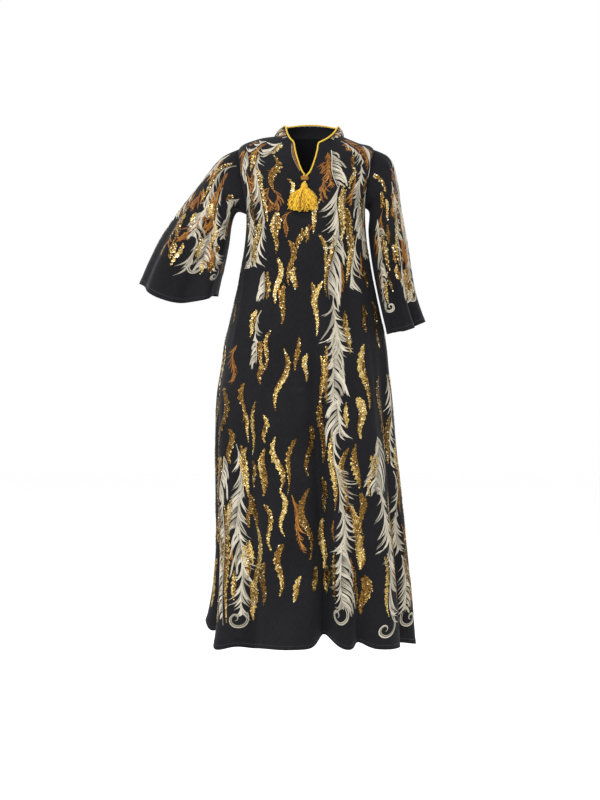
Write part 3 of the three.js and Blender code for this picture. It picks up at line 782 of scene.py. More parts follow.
def back_cloth():
    rows = body_rows()
    hem, reach = hem_angles(90, 270, WHOLE_BACK), side_reach(rows)
    angles = (90 + reach)[:, None] + (180 - 2 * reach)[:, None] * (hem - 90) / 180
    points = body_point(angles, rows[:, None])
    normals, down = grid_normals(points), depths(points)
    points = with_hem(points, normals, down)
    across = run(points, 1)
    across -= np.array([np.interp(180, a, s) for a, s in zip(angles, across)])[:, None]
    piece = shell("back_cloth", points, normals, across, down, grid_quads(grid_ids(points)))
    return piece, Flat(points, normals, across, down, angles), cut(points)


def sleeve_cloth(name, sign, tables):
    """A sleeve. Its flat places run from -180 to 180 degrees round it: 0 is its upper edge, 90 its
    front and -90 its back."""
    turned = sign * (-180 + 360 * np.arange(SLEEVE_ROUND + 1) / SLEEVE_ROUND)
    along = np.concatenate([np.linspace(0, 0.955, 56), np.linspace(0.965, 1, 8)])
    points = sleeve_point(sign, tables, turned, along[:, None])
    normals, down = grid_normals(points, closed=True), run(points).mean(axis=1)
    points = with_hem(points, normals, down)
    across = run(points, 1)
    across -= across[:, SLEEVE_ROUND // 2][:, None]
    ids = grid_ids(points)
    ids[:, -1] = ids[:, 0]
    piece = shell(name, points, normals, across, down, grid_quads(ids))
    angles = np.broadcast_to(turned, across.shape)
    points, normals, across, angles = (grid[:, ::sign] for grid in (points, normals, sign * across, angles))
    return piece, Flat(points, normals, across, down, angles), cut(points)


SHEETS = {
    "front": front_cloth(),
    "back": back_cloth(),
    "sleeve_right": sleeve_cloth("sleeve_right_cloth", -1, SLEEVE_RIGHT),
    "sleeve_left": sleeve_cloth("sleeve_left_cloth", 1, SLEEVE_LEFT),
}

# ---- embroidery and sequins ----
THREAD_BASE = 0.35  # how far a stitched motif's edges stand off the cloth
THREAD_CROWN = 0.7  # and its middle, above that
THREAD_LIFT = 1.6  # at most, where its stretches would cut through a ridge of the cloth
FINEST = 0.12  # half the width of a thread's tip
MARGIN, SEQUIN_MARGIN = 3.5, 4  # from the cloth's edges
SEQUIN_RADIUS, SEQUIN_CUP, SEQUIN_PITCH = 1.68, 0.28, 2.7
CLUMP = 12.0  # from one clump of a plume's threads to the next
COPPER_CLUMP = 8.5
WIDER, LONGER = 0.0004, 0.0009  # how much the motifs grow for each millimetre down the cloth
SPARSE, SPARSE_PLACE, SPARSE_REACH = 1.3, 560, 220  # how much wider the gaps are half way down
ROW_PITCH = 0.866 * SEQUIN_PITCH  # from one row of a leaf's sequins to the next
TRESSES, ONE_SIDED = 0.16, 0.55  # a plume is of tresses below the first, and two-sided above both
BEHIND_PLUME, BESIDE_STROKE = 0.3, 0.1  # how often a small copper leaf goes with one
COPPER_LEAST, COPPER_MORE, COPPER_FROM, COPPER_REACH = 0.05, 0.6, 60, 220
STITCH, STITCH_PITCH, STITCH_HALF = 3.6, 5.6, 0.38  # the hem's stitches
SCROLL = [
    (0, 0), (0.07, 0.22), (0.06, 0.43), (-0.05, 0.6), (-0.24, 0.7), (-0.45, 0.69), (-0.62, 0.57),
    (-0.68, 0.4), (-0.61, 0.26), (-0.47, 0.21), (-0.36, 0.3), (-0.37, 0.43), (-0.47, 0.47),
]
COPPER_SIDES = {1: [(1, 1.2), (-1, 0.5)], -1: [(-1, 1.2), (1, 0.5)]}
THREADS = {"ivory": IVORY, "copper": COPPER, "seam": SEAM_THREAD}


def moved(start, lean, aside, along):
    """Places that far to the right of a start, and that far along a lean from straight down."""
    sin, cos = sin_cos(lean)
    return places(start[0] + aside * cos + along * sin, start[1] - aside * sin + along * cos)


def spine(start, lean, length, bend, wave, share):
    """Points along a motif's middle line."""
    aside = bend * np.sin(math.pi * share) + wave * np.sin(2 * math.pi * share)
    return moved(start, lean, aside, share * length)


def sideways(line):
    """The unit vectors that point to the right of a line of flat places."""
    go = unit(np.gradient(line, axis=-2))
    return places(go[..., 1], -go[..., 0])


def taper(steps, start, end, power):
    """A motif's share of its width at each step: narrow at both ends."""
    return np.sin(math.pi * (start + (end - start) * steps)) ** power


def halfway(grid):
    return (grid[:, 1:] + grid[:, :-1]) / 2


def circle(first, second, angle):
    """Points of the unit circles that two directions span."""
    return first[..., None, :] * np.cos(angle)[..., None] + second[..., None, :] * np.sin(angle)[..., None]


def copper_share(down):
    """How often a motif is of copper thread and not of sequins: mostly near the shoulders."""
    return COPPER_LEAST + COPPER_MORE * (1 - smoothstep((down - COPPER_FROM) / COPPER_REACH))


class Work:
    """The stitched ribbons and sequins of one sheet, in flat places."""

    def __init__(self, name, flat, seed, margin=MARGIN):
        self.name, self.flat, self.margin = name, flat, margin
        self.rng = np.random.default_rng(seed)
        self.ribbons = {thread: {} for thread in THREADS}
        self.sequins = []

    def ribbon(self, thread, line, half_widths, shade=None):
        shade = self.rng.random() if shade is None else shade
        self.ribbons[thread].setdefault(len(line), []).append((line, half_widths, shade))

    def plume(self, start, lean, length, width, bend, wave, sides, clump=CLUMP, thread="ivory"):
        """A feather that hangs: a shaft, and beside it clumps of threads that sweep down and out to
        one tip each. sides are pairs of a side and its share of the width."""
        rng, fine = self.rng, thread == "ivory"
        shaft = np.linspace(0, 1, 13)
        self.ribbon(thread, spine(start, lean, length, bend, wave, shaft), 1.2 - 0.8 * shaft)
        steps = np.linspace(0, 1, 7 if fine else 6)
        thin = taper(steps, 0.12, 0.97, 0.7)
        for side, share in sides:
            curl = rng.choice([-0.3, -0.22, 0.25])
            place = rng.uniform(0, 0.04)
            while place < 0.93:
                pitch = clump * rng.uniform(0.6, 1.3) / length
                strands = rng.integers(3, 6) if fine else rng.integers(2, 4)
                at = place + pitch * 0.92 * np.arange(strands) / strands
                roots = spine(start, lean, length, bend, wave, at)
                go = unit(roots[1] - roots[0])
                aside = np.array([go[1], -go[0]]) * side
                reach = width / 2 * share * taper(place, 0.16, 0.97, 0.7) * rng.uniform(0.75, 1.3)
                drop = reach * rng.uniform(1.3, 2.2) + 9 * (1 - place)
                tip = roots[0] + go * drop + aside * reach
                bow = (aside - 0.6 * go) * reach * curl * rng.uniform(0.6, 1.3)
                hook = (0.6 * aside - 0.7 * go) * reach * rng.uniform(-0.1, 0.35)
                shade = rng.uniform(0.1, 0.95)
                for i, root in enumerate(roots):
                    end = tip - aside * 1.4 * i - go * 0.8 * i
                    line = root + (end - root) * steps[:, None] + bow * np.sin(math.pi * steps)[:, None]
                    line = line + hook * (steps**4)[:, None]
                    fat = (clump / CLUMP) ** 0.6 * rng.uniform(0.8, 1.25)
                    self.ribbon(thread, line, fat * thin, shade + rng.uniform(-0.3, 0.3))
                place += pitch

    def tresses(self, start, lean, length, width, bend, wave, strands=8):
        """A long leaf of fine lines, which part and meet again."""
        rng, steps = self.rng, np.linspace(0, 1, 11)
        for i in range(strands):
            aside = ((i + 0.5) / strands - 0.5) * width
            long = length * rng.uniform(0.8, 1)
            line = spine(start, lean, long, bend + aside, wave * rng.uniform(0.7, 1.2), steps)
            self.ribbon("ivory", line, 0.9 * taper(steps, 0.05, 0.96, 0.6) + 0.1)

    def dash(self, thread, start, lean, length, width, bend):
        """A satin leaf: one lens of stitches."""
        steps = np.linspace(0, 1, 7)
        line = spine(start, lean, length, bend, 0, steps)
        self.ribbon(thread, line, width / 2 * taper(steps**0.85, 0.03, 0.97, 0.85))

    def stroke(self, start, lean, length, width, bend, wave, bright, lobes, side):
        """A leaf filled with sequins: one edge in lobes, its colours split along the middle, and some
        sequins painted as near-white glints, more of them near the neck and on brighter leaves.
        """
        rng = self.rng
        count = int(length / ROW_PITCH) + 1
        share = (np.arange(count) + 0.5) / count
        lanes = np.arange(-9, 10) * SEQUIN_PITCH
        middle = spine(start, lean, length, bend, wave, share)
        half = width / 2 * taper(share ** rng.uniform(0.5, 1.05), 0.05, 0.97, rng.uniform(0.65, 1.2))
        pitch = rng.uniform(11, 17)
        lobe = (share * length / pitch + rng.random()) % 1
        lobe = 1 - lobes + lobes * np.sin(math.pi * lobe**1.7) ** 0.8
        aside = lanes + SEQUIN_PITCH / 2 * (np.arange(count) % 2)[:, None]
        limit = np.where(aside * side > 0, (half * lobe)[:, None], (half * 0.85)[:, None])
        keep = np.abs(aside) < np.maximum(limit, 0.5 * SEQUIN_PITCH)
        spots = middle[:, None] + sideways(middle)[:, None] * aside[..., None]
        spots = (spots + rng.normal(0, 0.18, spots.shape))[keep]
        drift = 0.5 * np.sin(2 * math.pi * (share * rng.uniform(0.4, 1.1) + rng.random()))[:, None]
        lean_to = side * aside / np.maximum(half, 1)[:, None] + drift + rng.normal(0, 0.4, aside.shape)
        light = lean_to > 1.4 - 2.4 * bright
        tint = np.where(light, rng.uniform(0.55, 0.9, aside.shape), rng.uniform(0.0, 0.5, aside.shape))
        # painted glint: a share of sequins, larger near the neck and on brighter leaves, takes tint 1.0,
        # the near-white gold
        painted_glint_share = 0.01 + 0.02 * bright + 0.2 * bright * (1 - smoothstep(start[1] / 620))
        tint = np.where(rng.random(aside.shape) < painted_glint_share, 1.0, tint)
        self.sequins.append(np.column_stack([spots, tint[keep]]))

    def scroll(self, start, lean, size, side):
        """A pair of cords that run down, curl round and meet in a tip."""
        x, y = np.array(SCROLL).T * size
        share = np.linspace(0, 1, 41)
        line = smooth_line(moved(start, lean, side * x, y), len(share))[0]
        off = sideways(line) * (2.0 * np.minimum(1, 3.0 * (1 - share)))[:, None]
        for beside in (-off, off):
            self.ribbon("ivory", line + beside, 1.5 * taper(share, 0.04, 1, 0.5))

    def path(self, band, down):
        """The place across of a band's middle line, which strays a little to each side."""
        share = (down - band["start"]) / (band["end"] - band["start"])
        angle = band["from"] + (band["to"] - band["from"]) * share
        stray = math.sin(2 * math.pi * (down / band["period"] + band["phase"]))
        return float(self.flat.across_at(angle, down)) + band["stray"] * stray

    def placed(self, band, down, length):
        """A motif's start, and its lean so that it follows the band."""
        start = self.path(band, down)
        return start, math.degrees(math.atan2(self.path(band, down + length) - start, length))

    def fill(self, bands):
        rng = self.rng
        for values in zip(*bands.values()):
            band = dict(zip(bands, values))
            band.update(period=rng.uniform(260, 420), phase=rng.random(), stray=rng.uniform(3, 9))
            lay = {"plume": self.lay_plume, "stroke": self.lay_stroke}[band["kind"]]
            stop = band["end"] - 0.8 * band["curl"]
            down = band["start"] + rng.uniform(0, 20 if band["kind"] == "plume" else 90)
            side = 1 if rng.random() < 0.5 else -1
            while down < stop - 0.55 * band["length"]:
                length = band["length"] * (0.85 + LONGER * down) * (0.62 + 1.1 * rng.random() ** 1.5)
                length = stop - down if stop - down < 1.35 * length else length
                width = band["width"] * (0.85 + WIDER * down) * rng.uniform(0.85, 1.15)
                start, lean = self.placed(band, down, length)
                lay((start, down), lean, length, width, side)
                sparse = 1 + SPARSE * math.exp(-(((down - SPARSE_PLACE) / SPARSE_REACH) ** 2))
                down += length * rng.uniform(0.76, 0.95) + band["gap"] * sparse * rng.uniform(-0.2, 2.2)
                side = -side
            if band["curl"]:
                start, lean = self.placed(band, stop, 30)
                self.scroll((start, stop - 8), lean, band["curl"], side)

    def lay_plume(self, start, lean, length, width, side):
        """A feather, and beside it a leaf of sequins or copper thread."""
        rng = self.rng
        lean = lean + side * rng.uniform(0, 8)
        bend, wave = side * length * rng.uniform(-0.02, 0.06), length * rng.uniform(-0.05, 0.05)
        kind = rng.random()
        gold = rng.uniform(12.5, 20)
        off, late, reach = gold * 0.5 + 1.5, 0.03, 0.95
        if kind < TRESSES and length < 90:
            self.tresses(start, lean, length, width * 0.55, bend, wave)
            off = width * 0.3
        elif kind < ONE_SIDED:
            self.plume(start, lean, length, width * 1.3, bend, wave, [(-side, 1.0)])
        else:
            self.plume(start, lean, length, width * 1.1, bend, wave, [(-side, 1.0), (side, 0.8)])
            off, late, reach = width * 0.36, rng.uniform(0.12, 0.4), rng.uniform(0.5, 0.8)
        leaf = moved(start, lean, side * off, late * length), lean, length * reach
        bend, wave = bend * 0.9, wave * 0.9
        if rng.random() < copper_share(start[1]):
            self.plume(*leaf, gold * 1.5, bend, wave, COPPER_SIDES[side], COPPER_CLUMP, "copper")
        else:
            self.stroke(*leaf, gold, bend, wave, rng.uniform(0.2, 0.9), 0.5, side)
        if rng.random() < BEHIND_PLUME:
            place = moved(start, lean, -side * width * 0.34, length * rng.uniform(0.2, 0.5))
            sides = [(-side, 1.4), (side, 0.4)]
            wide = rng.uniform(7, 12)
            self.plume(place, lean - side * 4, length * 0.5, wide, -side * 4, 0, sides, 9, "copper")

    def lay_stroke(self, start, lean, length, width, side):
        """A leaf of sequins or copper thread, now and then with a small one beside it."""
        rng = self.rng
        lean = lean + side * rng.uniform(-2, 9)
        bend, wave = side * length * rng.uniform(0, 0.07), side * length * rng.uniform(0.02, 0.085)
        width = width * rng.uniform(0.8, 1.64)
        if rng.random() < copper_share(start[1]):
            sides = COPPER_SIDES[side]
            self.plume(start, lean, length * 0.8, width * 1.3, bend, wave, sides, COPPER_CLUMP, "copper")
        else:
            bright = rng.uniform(0.0, 0.9)
            self.stroke(start, lean, length, width, bend, wave, bright, rng.uniform(0.2, 0.6), side)
        if rng.random() < BESIDE_STROKE:
            place = moved(start, lean, side * width * 0.6, length * 0.5)
            leaf = place, lean + side * 4, length * 0.45, width * 0.5
            self.plume(*leaf, -side * 5, 0, [(side, 1.3)], 8, "copper")

    def stitched(self, thread):
        """The piece of one thread's ribbons: each crowned along its middle line."""
        vertices, faces, uv, tint, count, flipped = [], [], [], [], 0, 0.0
        for _, ribbons in sorted(self.ribbons[thread].items()):
            line, half, shade = (np.array(part) for part in zip(*ribbons))
            held = self.flat.holds(line, self.margin).all(axis=1)
            line, half, shade = line[held], np.maximum(half, FINEST)[held], shade[held]
            if not len(line):
                continue
            right = sideways(line) * half[..., None]
            flat = np.stack([line - right, line, line + right], axis=2)
            crown = THREAD_CROWN * np.minimum(half / 1.6, 1.25)
            raised = places(0, crown, 0) + THREAD_BASE
            points, normals = self.flat.at(flat, raised)
            over, out = self.flat.at(halfway(flat), halfway(raised))
            sunk = ((over - halfway(points)) * out).sum(axis=-1).max(axis=2)
            sunk = np.pad(np.clip(sunk, 0, THREAD_LIFT), ((0, 0), (1, 1)))
            points += normals * np.maximum(sunk[:, 1:], sunk[:, :-1])[..., None, None]
            along = points[:, 1:, 1] - points[:, :-1, 1]
            wide = points[:, :-1, 2] - points[:, :-1, 0]
            flipped += (np.cross(wide, along) * normals[:, :-1, 1]).sum()
            ids = grid_ids(points)
            vertices.append(points.reshape(-1, 3))
            faces.append(grid_quads(ids) + count)
            uv.append(places(places(-half, 0, half), run(line, 1)[..., None]).reshape(-1, 2))
            tint.append(np.repeat(shade, ids[0].size))
            count += ids.size
        vertices, faces, uv, tint = (np.concatenate(parts) for parts in (vertices, faces, uv, tint))
        if flipped < 0:
            faces = faces[:, ::-1]
        return make_mesh(f"{self.name}_{thread}", vertices, [faces], THREADS[thread], uv, tint)

    def sewn(self):
        """The piece of the sheet's sequins: six-sided cups that tilt a little each way."""
        sequins = np.concatenate(self.sequins)
        sequins = sequins[self.flat.holds(sequins, SEQUIN_MARGIN)]
        spots, tint, count = sequins[:, :2], sequins[:, 2], len(sequins)
        middle, normal = self.flat.at(spots, self.rng.uniform(0.45, 0.75, count))
        tilted = unit(normal + self.rng.normal(0, 0.2, normal.shape))
        first = unit(np.cross(tilted, (0.3, 0.1, 1.0)))
        corner = np.arange(6)
        angle = self.rng.uniform(0, math.pi / 3, count)[:, None] + corner * math.pi / 3
        rim = circle(first, np.cross(tilted, first), angle) * SEQUIN_RADIUS + tilted[:, None] * SEQUIN_CUP
        points = np.concatenate([middle[:, None], middle[:, None] + rim], axis=1)
        hub = np.arange(count)[:, None] * 7
        faces = places(hub, hub + 1 + corner, hub + 1 + (corner + 1) % 6).reshape(-1, 3)
        points, uv, tint = points.reshape(-1, 3), np.repeat(spots, 7, axis=0), np.repeat(tint, 7)
        return make_mesh(f"{self.name}_sequins", points, [faces], SEQUINS, uv, tint, smooth=False)

    def hem(self):
        """The hem's topstitching."""
        down = self.flat.down[-1] - HEM_FOLD + 1.5
        low, high = self.flat.ends(down)
        for across in np.arange(low + 5, high - 5, STITCH_PITCH):
            line = places(across + np.linspace(0, STITCH, 5), down)
            self.ribbon("seam", line, np.full(5, STITCH_HALF))

    def pieces(self):
        made = [self.stitched(thread) for thread in THREADS if self.ribbons[thread]]
        return made + ([self.sewn()] if self.sequins else [])


# The rows of motifs that hang down each sheet: the angle round the garment at the row's start and
# end, start and end down the cloth, one motif's usual length and width, the gap between two, and
# the size of the scroll that ends a row of plumes.
BAND_COLUMNS = "kind from to start end length width gap curl"
BANDS = {
    "front": """
plume 30 22 35 590 100 58 0 0
plume 21 17 520 1250 88 54 0 56
plume 52 47 5 430 92 46 0 0
plume 66 63 50 360 84 32 0 0
plume 48 46 780 1275 80 48 0 56
plume 72 71 640 1275 76 36 8 50
plume -38 -44 5 380 88 44 0 0
plume -56 -58 20 380 84 38 0 0
plume -37 -35 380 620 80 28 10 0
plume -46 -41 800 1265 78 44 0 56
plume -57 -55 840 1240 78 34 10 0
plume -69 -67 860 1275 76 38 0 50
stroke -32 -34 600 1190 68 13 16 0
stroke -25 -26 30 1195 66 12 26 0
stroke -15 -17 120 1170 68 12 28 0
stroke -6 -8 200 1185 70 12 38 0
stroke 4 1 205 1165 68 12 42 0
stroke 14 9 40 1190 70 13 20 0
stroke 41 37 20 360 70 13 4 0
stroke 34 30 640 1225 72 14 16 0
stroke 46 43 440 900 68 12 30 0
stroke 60 58 300 1250 70 12 36 0
stroke 79 80 320 1255 70 12 36 0
stroke -48 -50 20 400 68 13 6 0
stroke -52 -51 560 860 68 13 30 0
stroke -63 -62 420 1245 70 12 40 0
stroke -76 -76 290 1250 68 12 44 0
stroke -83 -83 330 1250 68 11 44 0
stroke 26 25 820 1215 72 12 20 0
stroke -30 -28 0 320 84 19 2 0
stroke -40 -38 640 1230 72 13 24 0
""",
    "back": """
plume 196 192 20 640 100 56 0 0
plume 190 196 580 1255 84 48 0 52
plume 151 147 10 460 96 46 0 0
plume 144 148 700 1270 78 42 2 52
plume 222 226 10 440 92 44 0 0
plume 227 224 690 1275 78 42 2 54
plume 115 112 660 1275 76 38 4 50
plume 249 252 660 1275 76 38 4 50
plume 124 122 30 360 84 34 0 0
plume 236 238 30 360 84 34 0 0
stroke 180 179 40 1175 68 12 28 0
stroke 171 172 80 1165 68 12 28 0
stroke 187 184 120 1180 68 12 30 0
stroke 162 160 30 1205 70 12 24 0
stroke 206 206 30 1225 70 13 22 0
stroke 213 215 60 1235 68 12 24 0
stroke 137 136 40 1240 68 12 22 0
stroke 129 125 400 1245 70 13 24 0
stroke 235 239 400 1245 70 13 24 0
stroke 103 102 330 1255 70 12 36 0
stroke 261 262 330 1255 70 12 36 0
stroke 155 156 640 1215 70 12 20 0
stroke 200 202 640 1215 70 12 20 0
""",
    "sleeve_right": """
plume 62 96 4 285 88 40 0 40
plume 120 146 10 290 84 36 0 36
plume 22 30 4 180 84 34 0 0
stroke 42 46 10 268 66 13 10 0
stroke 84 72 20 272 66 13 8 0
stroke 100 118 20 272 68 14 8 0
stroke 8 12 60 268 66 13 14 0
stroke 150 172 110 278 66 12 12 0
plume -70 -96 8 285 88 38 0 38
plume -128 -150 40 285 84 34 2 34
plume -24 -32 10 180 84 32 0 0
stroke -46 -50 10 268 68 13 10 0
stroke -92 -72 30 270 66 12 10 0
stroke -110 -122 30 272 68 13 10 0
stroke -12 -14 80 268 66 12 14 0
plume 84 120 40 268 84 32 0 0
stroke 32 66 60 262 66 13 4 0
stroke 108 132 60 268 66 13 6 0
""",
    "sleeve_left": """
plume 58 60 60 350 88 36 2 40
plume 24 32 10 355 88 36 6 36
plume 122 140 90 350 86 36 2 38
stroke 84 84 10 340 70 14 12 0
stroke 104 110 40 340 68 13 14 0
stroke 40 44 10 340 66 13 12 0
stroke 6 8 20 340 68 14 12 0
stroke 70 72 10 150 66 13 6 0
plume -56 -64 20 350 88 38 0 40
plume -124 -140 90 350 86 34 2 36
plume -16 -24 10 200 84 32 0 0
stroke -38 -42 10 340 68 13 12 0
stroke -80 -84 20 340 66 12 12 0
stroke -104 -110 40 340 68 13 12 0
stroke 50 50 30 340 68 13 8 0
""",
}


def dress(name, node, seed):
    """Embroiders one sheet, and works out the size and area of the cut that it was sewn from."""
    cloth, flat, area = SHEETS[name]
    work = Work(name, flat, seed)
    work.fill(table(BAND_COLUMNS + BANDS[name]))
    work.hem()
    size, area = flat.cut_size(area)
    work.pieces()
    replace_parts(cloth, node)


dress("front", "front_panel", 21)
dress("back", "back_panel", 26)
dress("sleeve_right", "sleeve_right", 23)
dress("sleeve_left", "sleeve_left", 24)


# ---- collar and facing ----
def open_piece(name, node, points, angles, material=None, thickness=SHELL):
    """A small open sheet from its grid, its flat places and its area."""
    normals, across, down = grid_normals(points), run(points, 1), depths(points)
    across -= across[:, across.shape[1] // 2][:, None]
    quads = grid_quads(grid_ids(points))
    piece = shell(name, points, normals, across, down, quads, material, thickness)
    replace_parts(piece, node)
    return piece, Flat(points, normals, across, down, np.broadcast_to(angles, across.shape)), cut(points)


COLLAR_LEAN, COLLAR_PITCH, COLLAR_EDGE, COLLAR_MARGIN = 34, 15.0, 2.2, 1.6


def make_collar():
    """The stand collar, with motifs that lean to its middle from its top and bottom in turn."""
    share = np.linspace(0, 1, 141)
    points = collar_point(share, np.linspace(-0.06, 1, 16)[:, None])
    collar, flat, area = open_piece("collar_cloth", "collar", points, share)
    work = Work("collar", flat, 31, COLLAR_MARGIN)
    tall, hanging = flat.down[-1], True
    for across in np.arange(flat.low.min() + 6, flat.high.max(), COLLAR_PITCH):
        lean = -math.copysign(COLLAR_LEAN, across)
        place = (across, COLLAR_EDGE)
        if not hanging:
            place = (across + tall * math.tan(math.radians(lean)), tall - COLLAR_EDGE)
            lean += 180
        work.plume(place, lean, tall * 1.05, 15, 0, 0, [(1, 1), (-1, 0.3)], 13.0)
        place = (place[0] + 8, place[1])
        work.plume(place, lean, tall * 0.8, 9, 0, 0, COPPER_SIDES[1], 7.0, "copper")
        hanging = not hanging
    size, area = flat.cut_size(area)
    work.pieces()


FACING_ROWS = (13.5, 15.7)
FACING_WIDTH, FACING_END, FACING_INSET = 8.0, 0.37, 0.8
LIE_GAP, FACING_WALL, FACING_CROWN = 0.4, 1.2, 0.35


def make_facing():
    share, steps = np.linspace(0, 1, 31), np.linspace(0, 1, 7)
    rows = FACING_ROWS[0] + (FACING_ROWS[1] - FACING_ROWS[0]) * share
    end = math.asin(FACING_END)
    width = FACING_WIDTH * np.sin(end + (math.pi - 2 * end) * share)
    x = (-slit_half_width(rows) - FACING_INSET - width)[:, None] + width[:, None] * steps
    points = body_point(front_angle(rows[:, None], x), rows[:, None])
    raised = LIE_GAP + FACING_WALL - FACING_CROWN + FACING_CROWN * np.sin(math.pi * steps)
    points = points + grid_normals(points) * raised[:, None]
    facing, flat, area = open_piece("facing_strip", "slit_facing", points, steps, FACING, FACING_WALL * 0.8)
    work = Work("facing", flat, 32, 0.1)
    for down in np.arange(2.0, flat.down[-1] - 3, 4.2):
        low = flat.ends(down)[0]
        work.ribbon("ivory", places(low + 0.75, down + np.linspace(0, 2.8, 5)), np.full(5, 0.4))
        work.dash("copper", (low * 0.1, down), 18, 3.6, 2.0, 0.4)
    (width, length), area = flat.cut_size(area)
    work.pieces()


make_collar()
make_facing()

# ---- cord, knot, bead and tassel ----
CORD_OFFSET = 2.55  # from the cord's middle to the edge that it is piped on
CORD_PLIES, CORD_PLY_RADIUS, CORD_PLY_OFFSET, CORD_LAY = 3, 1.15, 1.08, 8.5
CORD_ROWS = np.array([13.31, 13.38, 13.56, 13.8, 14, 14.25, 14.6, 15.2, 16])
CORD_HEIGHTS = np.array([0.12, 0.35, 0.7])
KNOT_PLACE, KNOT_RADIUS, KNOT_HEIGHT, KNOT_FLATNESS = (-4.0, -120.0), 10.0, 10.0, 0.6
KNOT_TURNS, KNOT_STEPS, KNOT_THREAD = 6.5, 220, 0.85
KNOT_PROFILE = [
    (0.55, -0.5), (0.82, -0.42), (0.93, -0.25), (0.82, 0), (0.93, 0.25), (0.82, 0.42), (0.55, 0.5),
]
BEAD_PLACE = (-3.0, -128.8)
BEAD_PROFILE = [(0, -3), (1.2, -2.95), (2.3, -2.1), (2.85, -1), (3, -0.35), (2.7, 0)]
HEAD_PLACE, HEAD_RADIUS, HEAD_HEIGHT, HEAD_FLATNESS = (-5.0, -132.6), 9.0, 19.0, 0.75
NECK_TURNS, NECK_STEPS, NECK_THREAD = 4.5, 90, 0.75
STRAND_X, STRANDS_WIDE, STRANDS_DEEP, STRANDS_LONG = -9.0, 35.0, 16.0, 71.0
STRAND_COUNT, STRAND_STEPS, STRAND_RADIUS = 150, 32, 1.2
HEAD_SHAPE = ((0.75, 0.45, 5.0), (0.7, 0.42, 9.5), (1.3, 0.5, 16.0))  # across, inward, and down
SKIRT_SHAPE = ((0.62, 0.62, 0.26), (0.92, 0.92, 0.6))  # shares of the way to a strand's tip
STAND_OFF = 1.2  # of the knot and tassel, from the front
UPWARD, BACKWARD = np.array([0.0, 0.0, 1.0]), np.array([0.0, 1.0, 0.0])


def slope(surface, p, q, dp, dq):
    return unit(np.cross(surface(p + dp, q) - surface(p - dp, q), surface(p, q + dq) - surface(p, q - dq)))


def cord_line():
    """The cord's middle line: up one edge of the slit, round the collar's top, down the other."""

    def slit(side):
        angle = front_angle(CORD_ROWS, side * slit_half_width(CORD_ROWS))
        below = np.minimum(CORD_ROWS, NECK_ROW - 0.02)
        return plain_body(angle, CORD_ROWS), slope(plain_body, angle, below, 0.5, 0.02)

    def on_collar(share, height):
        inside = np.clip(height, 0.02, 0.98)
        return collar_point(share, height), slope(collar_point, share, inside, 0.004, 0.02)

    parts = [slit(-1), on_collar(np.ones(3), CORD_HEIGHTS), on_collar(np.linspace(1, 0, 31), np.ones(31))]
    parts += [on_collar(np.zeros(3), CORD_HEIGHTS[::-1]), [v[::-1] for v in slit(1)]]
    point, normal = (np.concatenate([p[k] for p in parts]) for k in (0, 1))
    padded = np.concatenate([point[:1], point, point[-1:]])
    come, go = unit(point - padded[:-2]), unit(padded[2:] - point)
    corner = np.minimum(2 / (np.linalg.norm(come + go, axis=1) + 1e-9), 1.5)
    corner[0] = corner[-1] = 1
    come[0] = go[0]
    away = unit(np.cross(unit(come + go), normal))
    return point - normal * CLOTH / 2 + away * (CORD_OFFSET * corner)[:, None]


def carried_frames(line):
    """Two directions square to a line, carried along it without twist."""
    go = unit(np.gradient(line, axis=0))
    first = np.empty_like(line)
    first[0] = unit(np.cross(go[0], UPWARD))
    for i in range(1, len(line)):
        first[i] = unit(first[i - 1] - go[i] * (first[i - 1] @ go[i]))
    return first, np.cross(go, first)


def tubes(name, lines, radius, sides, beside, material, tint, extra=None):
    """Round strands along lines, all with as many points; beside is a direction across each."""
    go = unit(np.gradient(lines, axis=1))
    first = unit(np.cross(go, beside))
    angle = np.arange(sides) * 2 * math.pi / sides
    points = lines[..., None, :] + circle(first, np.cross(go, first), angle) * radius[..., None, None]
    ids = grid_ids(points)
    quads = grid_quads(np.concatenate([ids, ids[..., :1]], axis=2))
    caps = np.concatenate([ids[:, 0, ::-1], ids[:, -1]])
    beside_others = 7.0 * np.arange(len(lines))[:, None, None]
    uv = places(angle * 0.8 + beside_others, run(lines, 1)[..., None]).reshape(-1, 2)
    vertices, tint = points.reshape(-1, 3), np.repeat(tint, ids[0].size)
    faces = [quads, caps]
    if extra is not None:
        faces.append(extra[1] + len(vertices))
        vertices = np.concatenate([vertices, extra[0]])
        uv = np.concatenate([uv, extra[0][:, [0, 2]]])
        tint = np.concatenate([tint, np.full(len(extra[0]), 0.2)])
    return make_mesh(name, vertices, faces, material, uv, tint)


def turned_body(profile, sides, flatness, place):
    """Points and quads of a turned shape, from radii and heights, round a place."""
    radius, height = np.array(profile, float).T[..., None]
    angle = np.arange(sides) * 2 * math.pi / sides
    x, y = radius * np.cos(angle), radius * np.sin(angle) * flatness
    points = places(x, y, height) + place
    ids = grid_ids(points)
    return points.reshape(-1, 3), grid_quads(np.concatenate([ids, ids[:, :1]], axis=1))


def panel_front_y(x, z):
    """The front panel's outer face at places given by x and z."""
    low, high = np.zeros(x.shape), np.full(x.shape, NECK_ROW)
    for _ in range(40):
        row = (low + high) / 2
        under = plain_body(front_angle(row, x), row)[..., 2] < z
        low, high = np.where(under, row, low), np.where(under, high, row)
    return plain_body(front_angle(low, x), low)[..., 1]


def at_front(x, z):
    return float(panel_front_y(np.array([float(x)]), np.array([float(z)]))[0])


KNOT_Y = at_front(*KNOT_PLACE) - KNOT_RADIUS * KNOT_FLATNESS - STAND_OFF


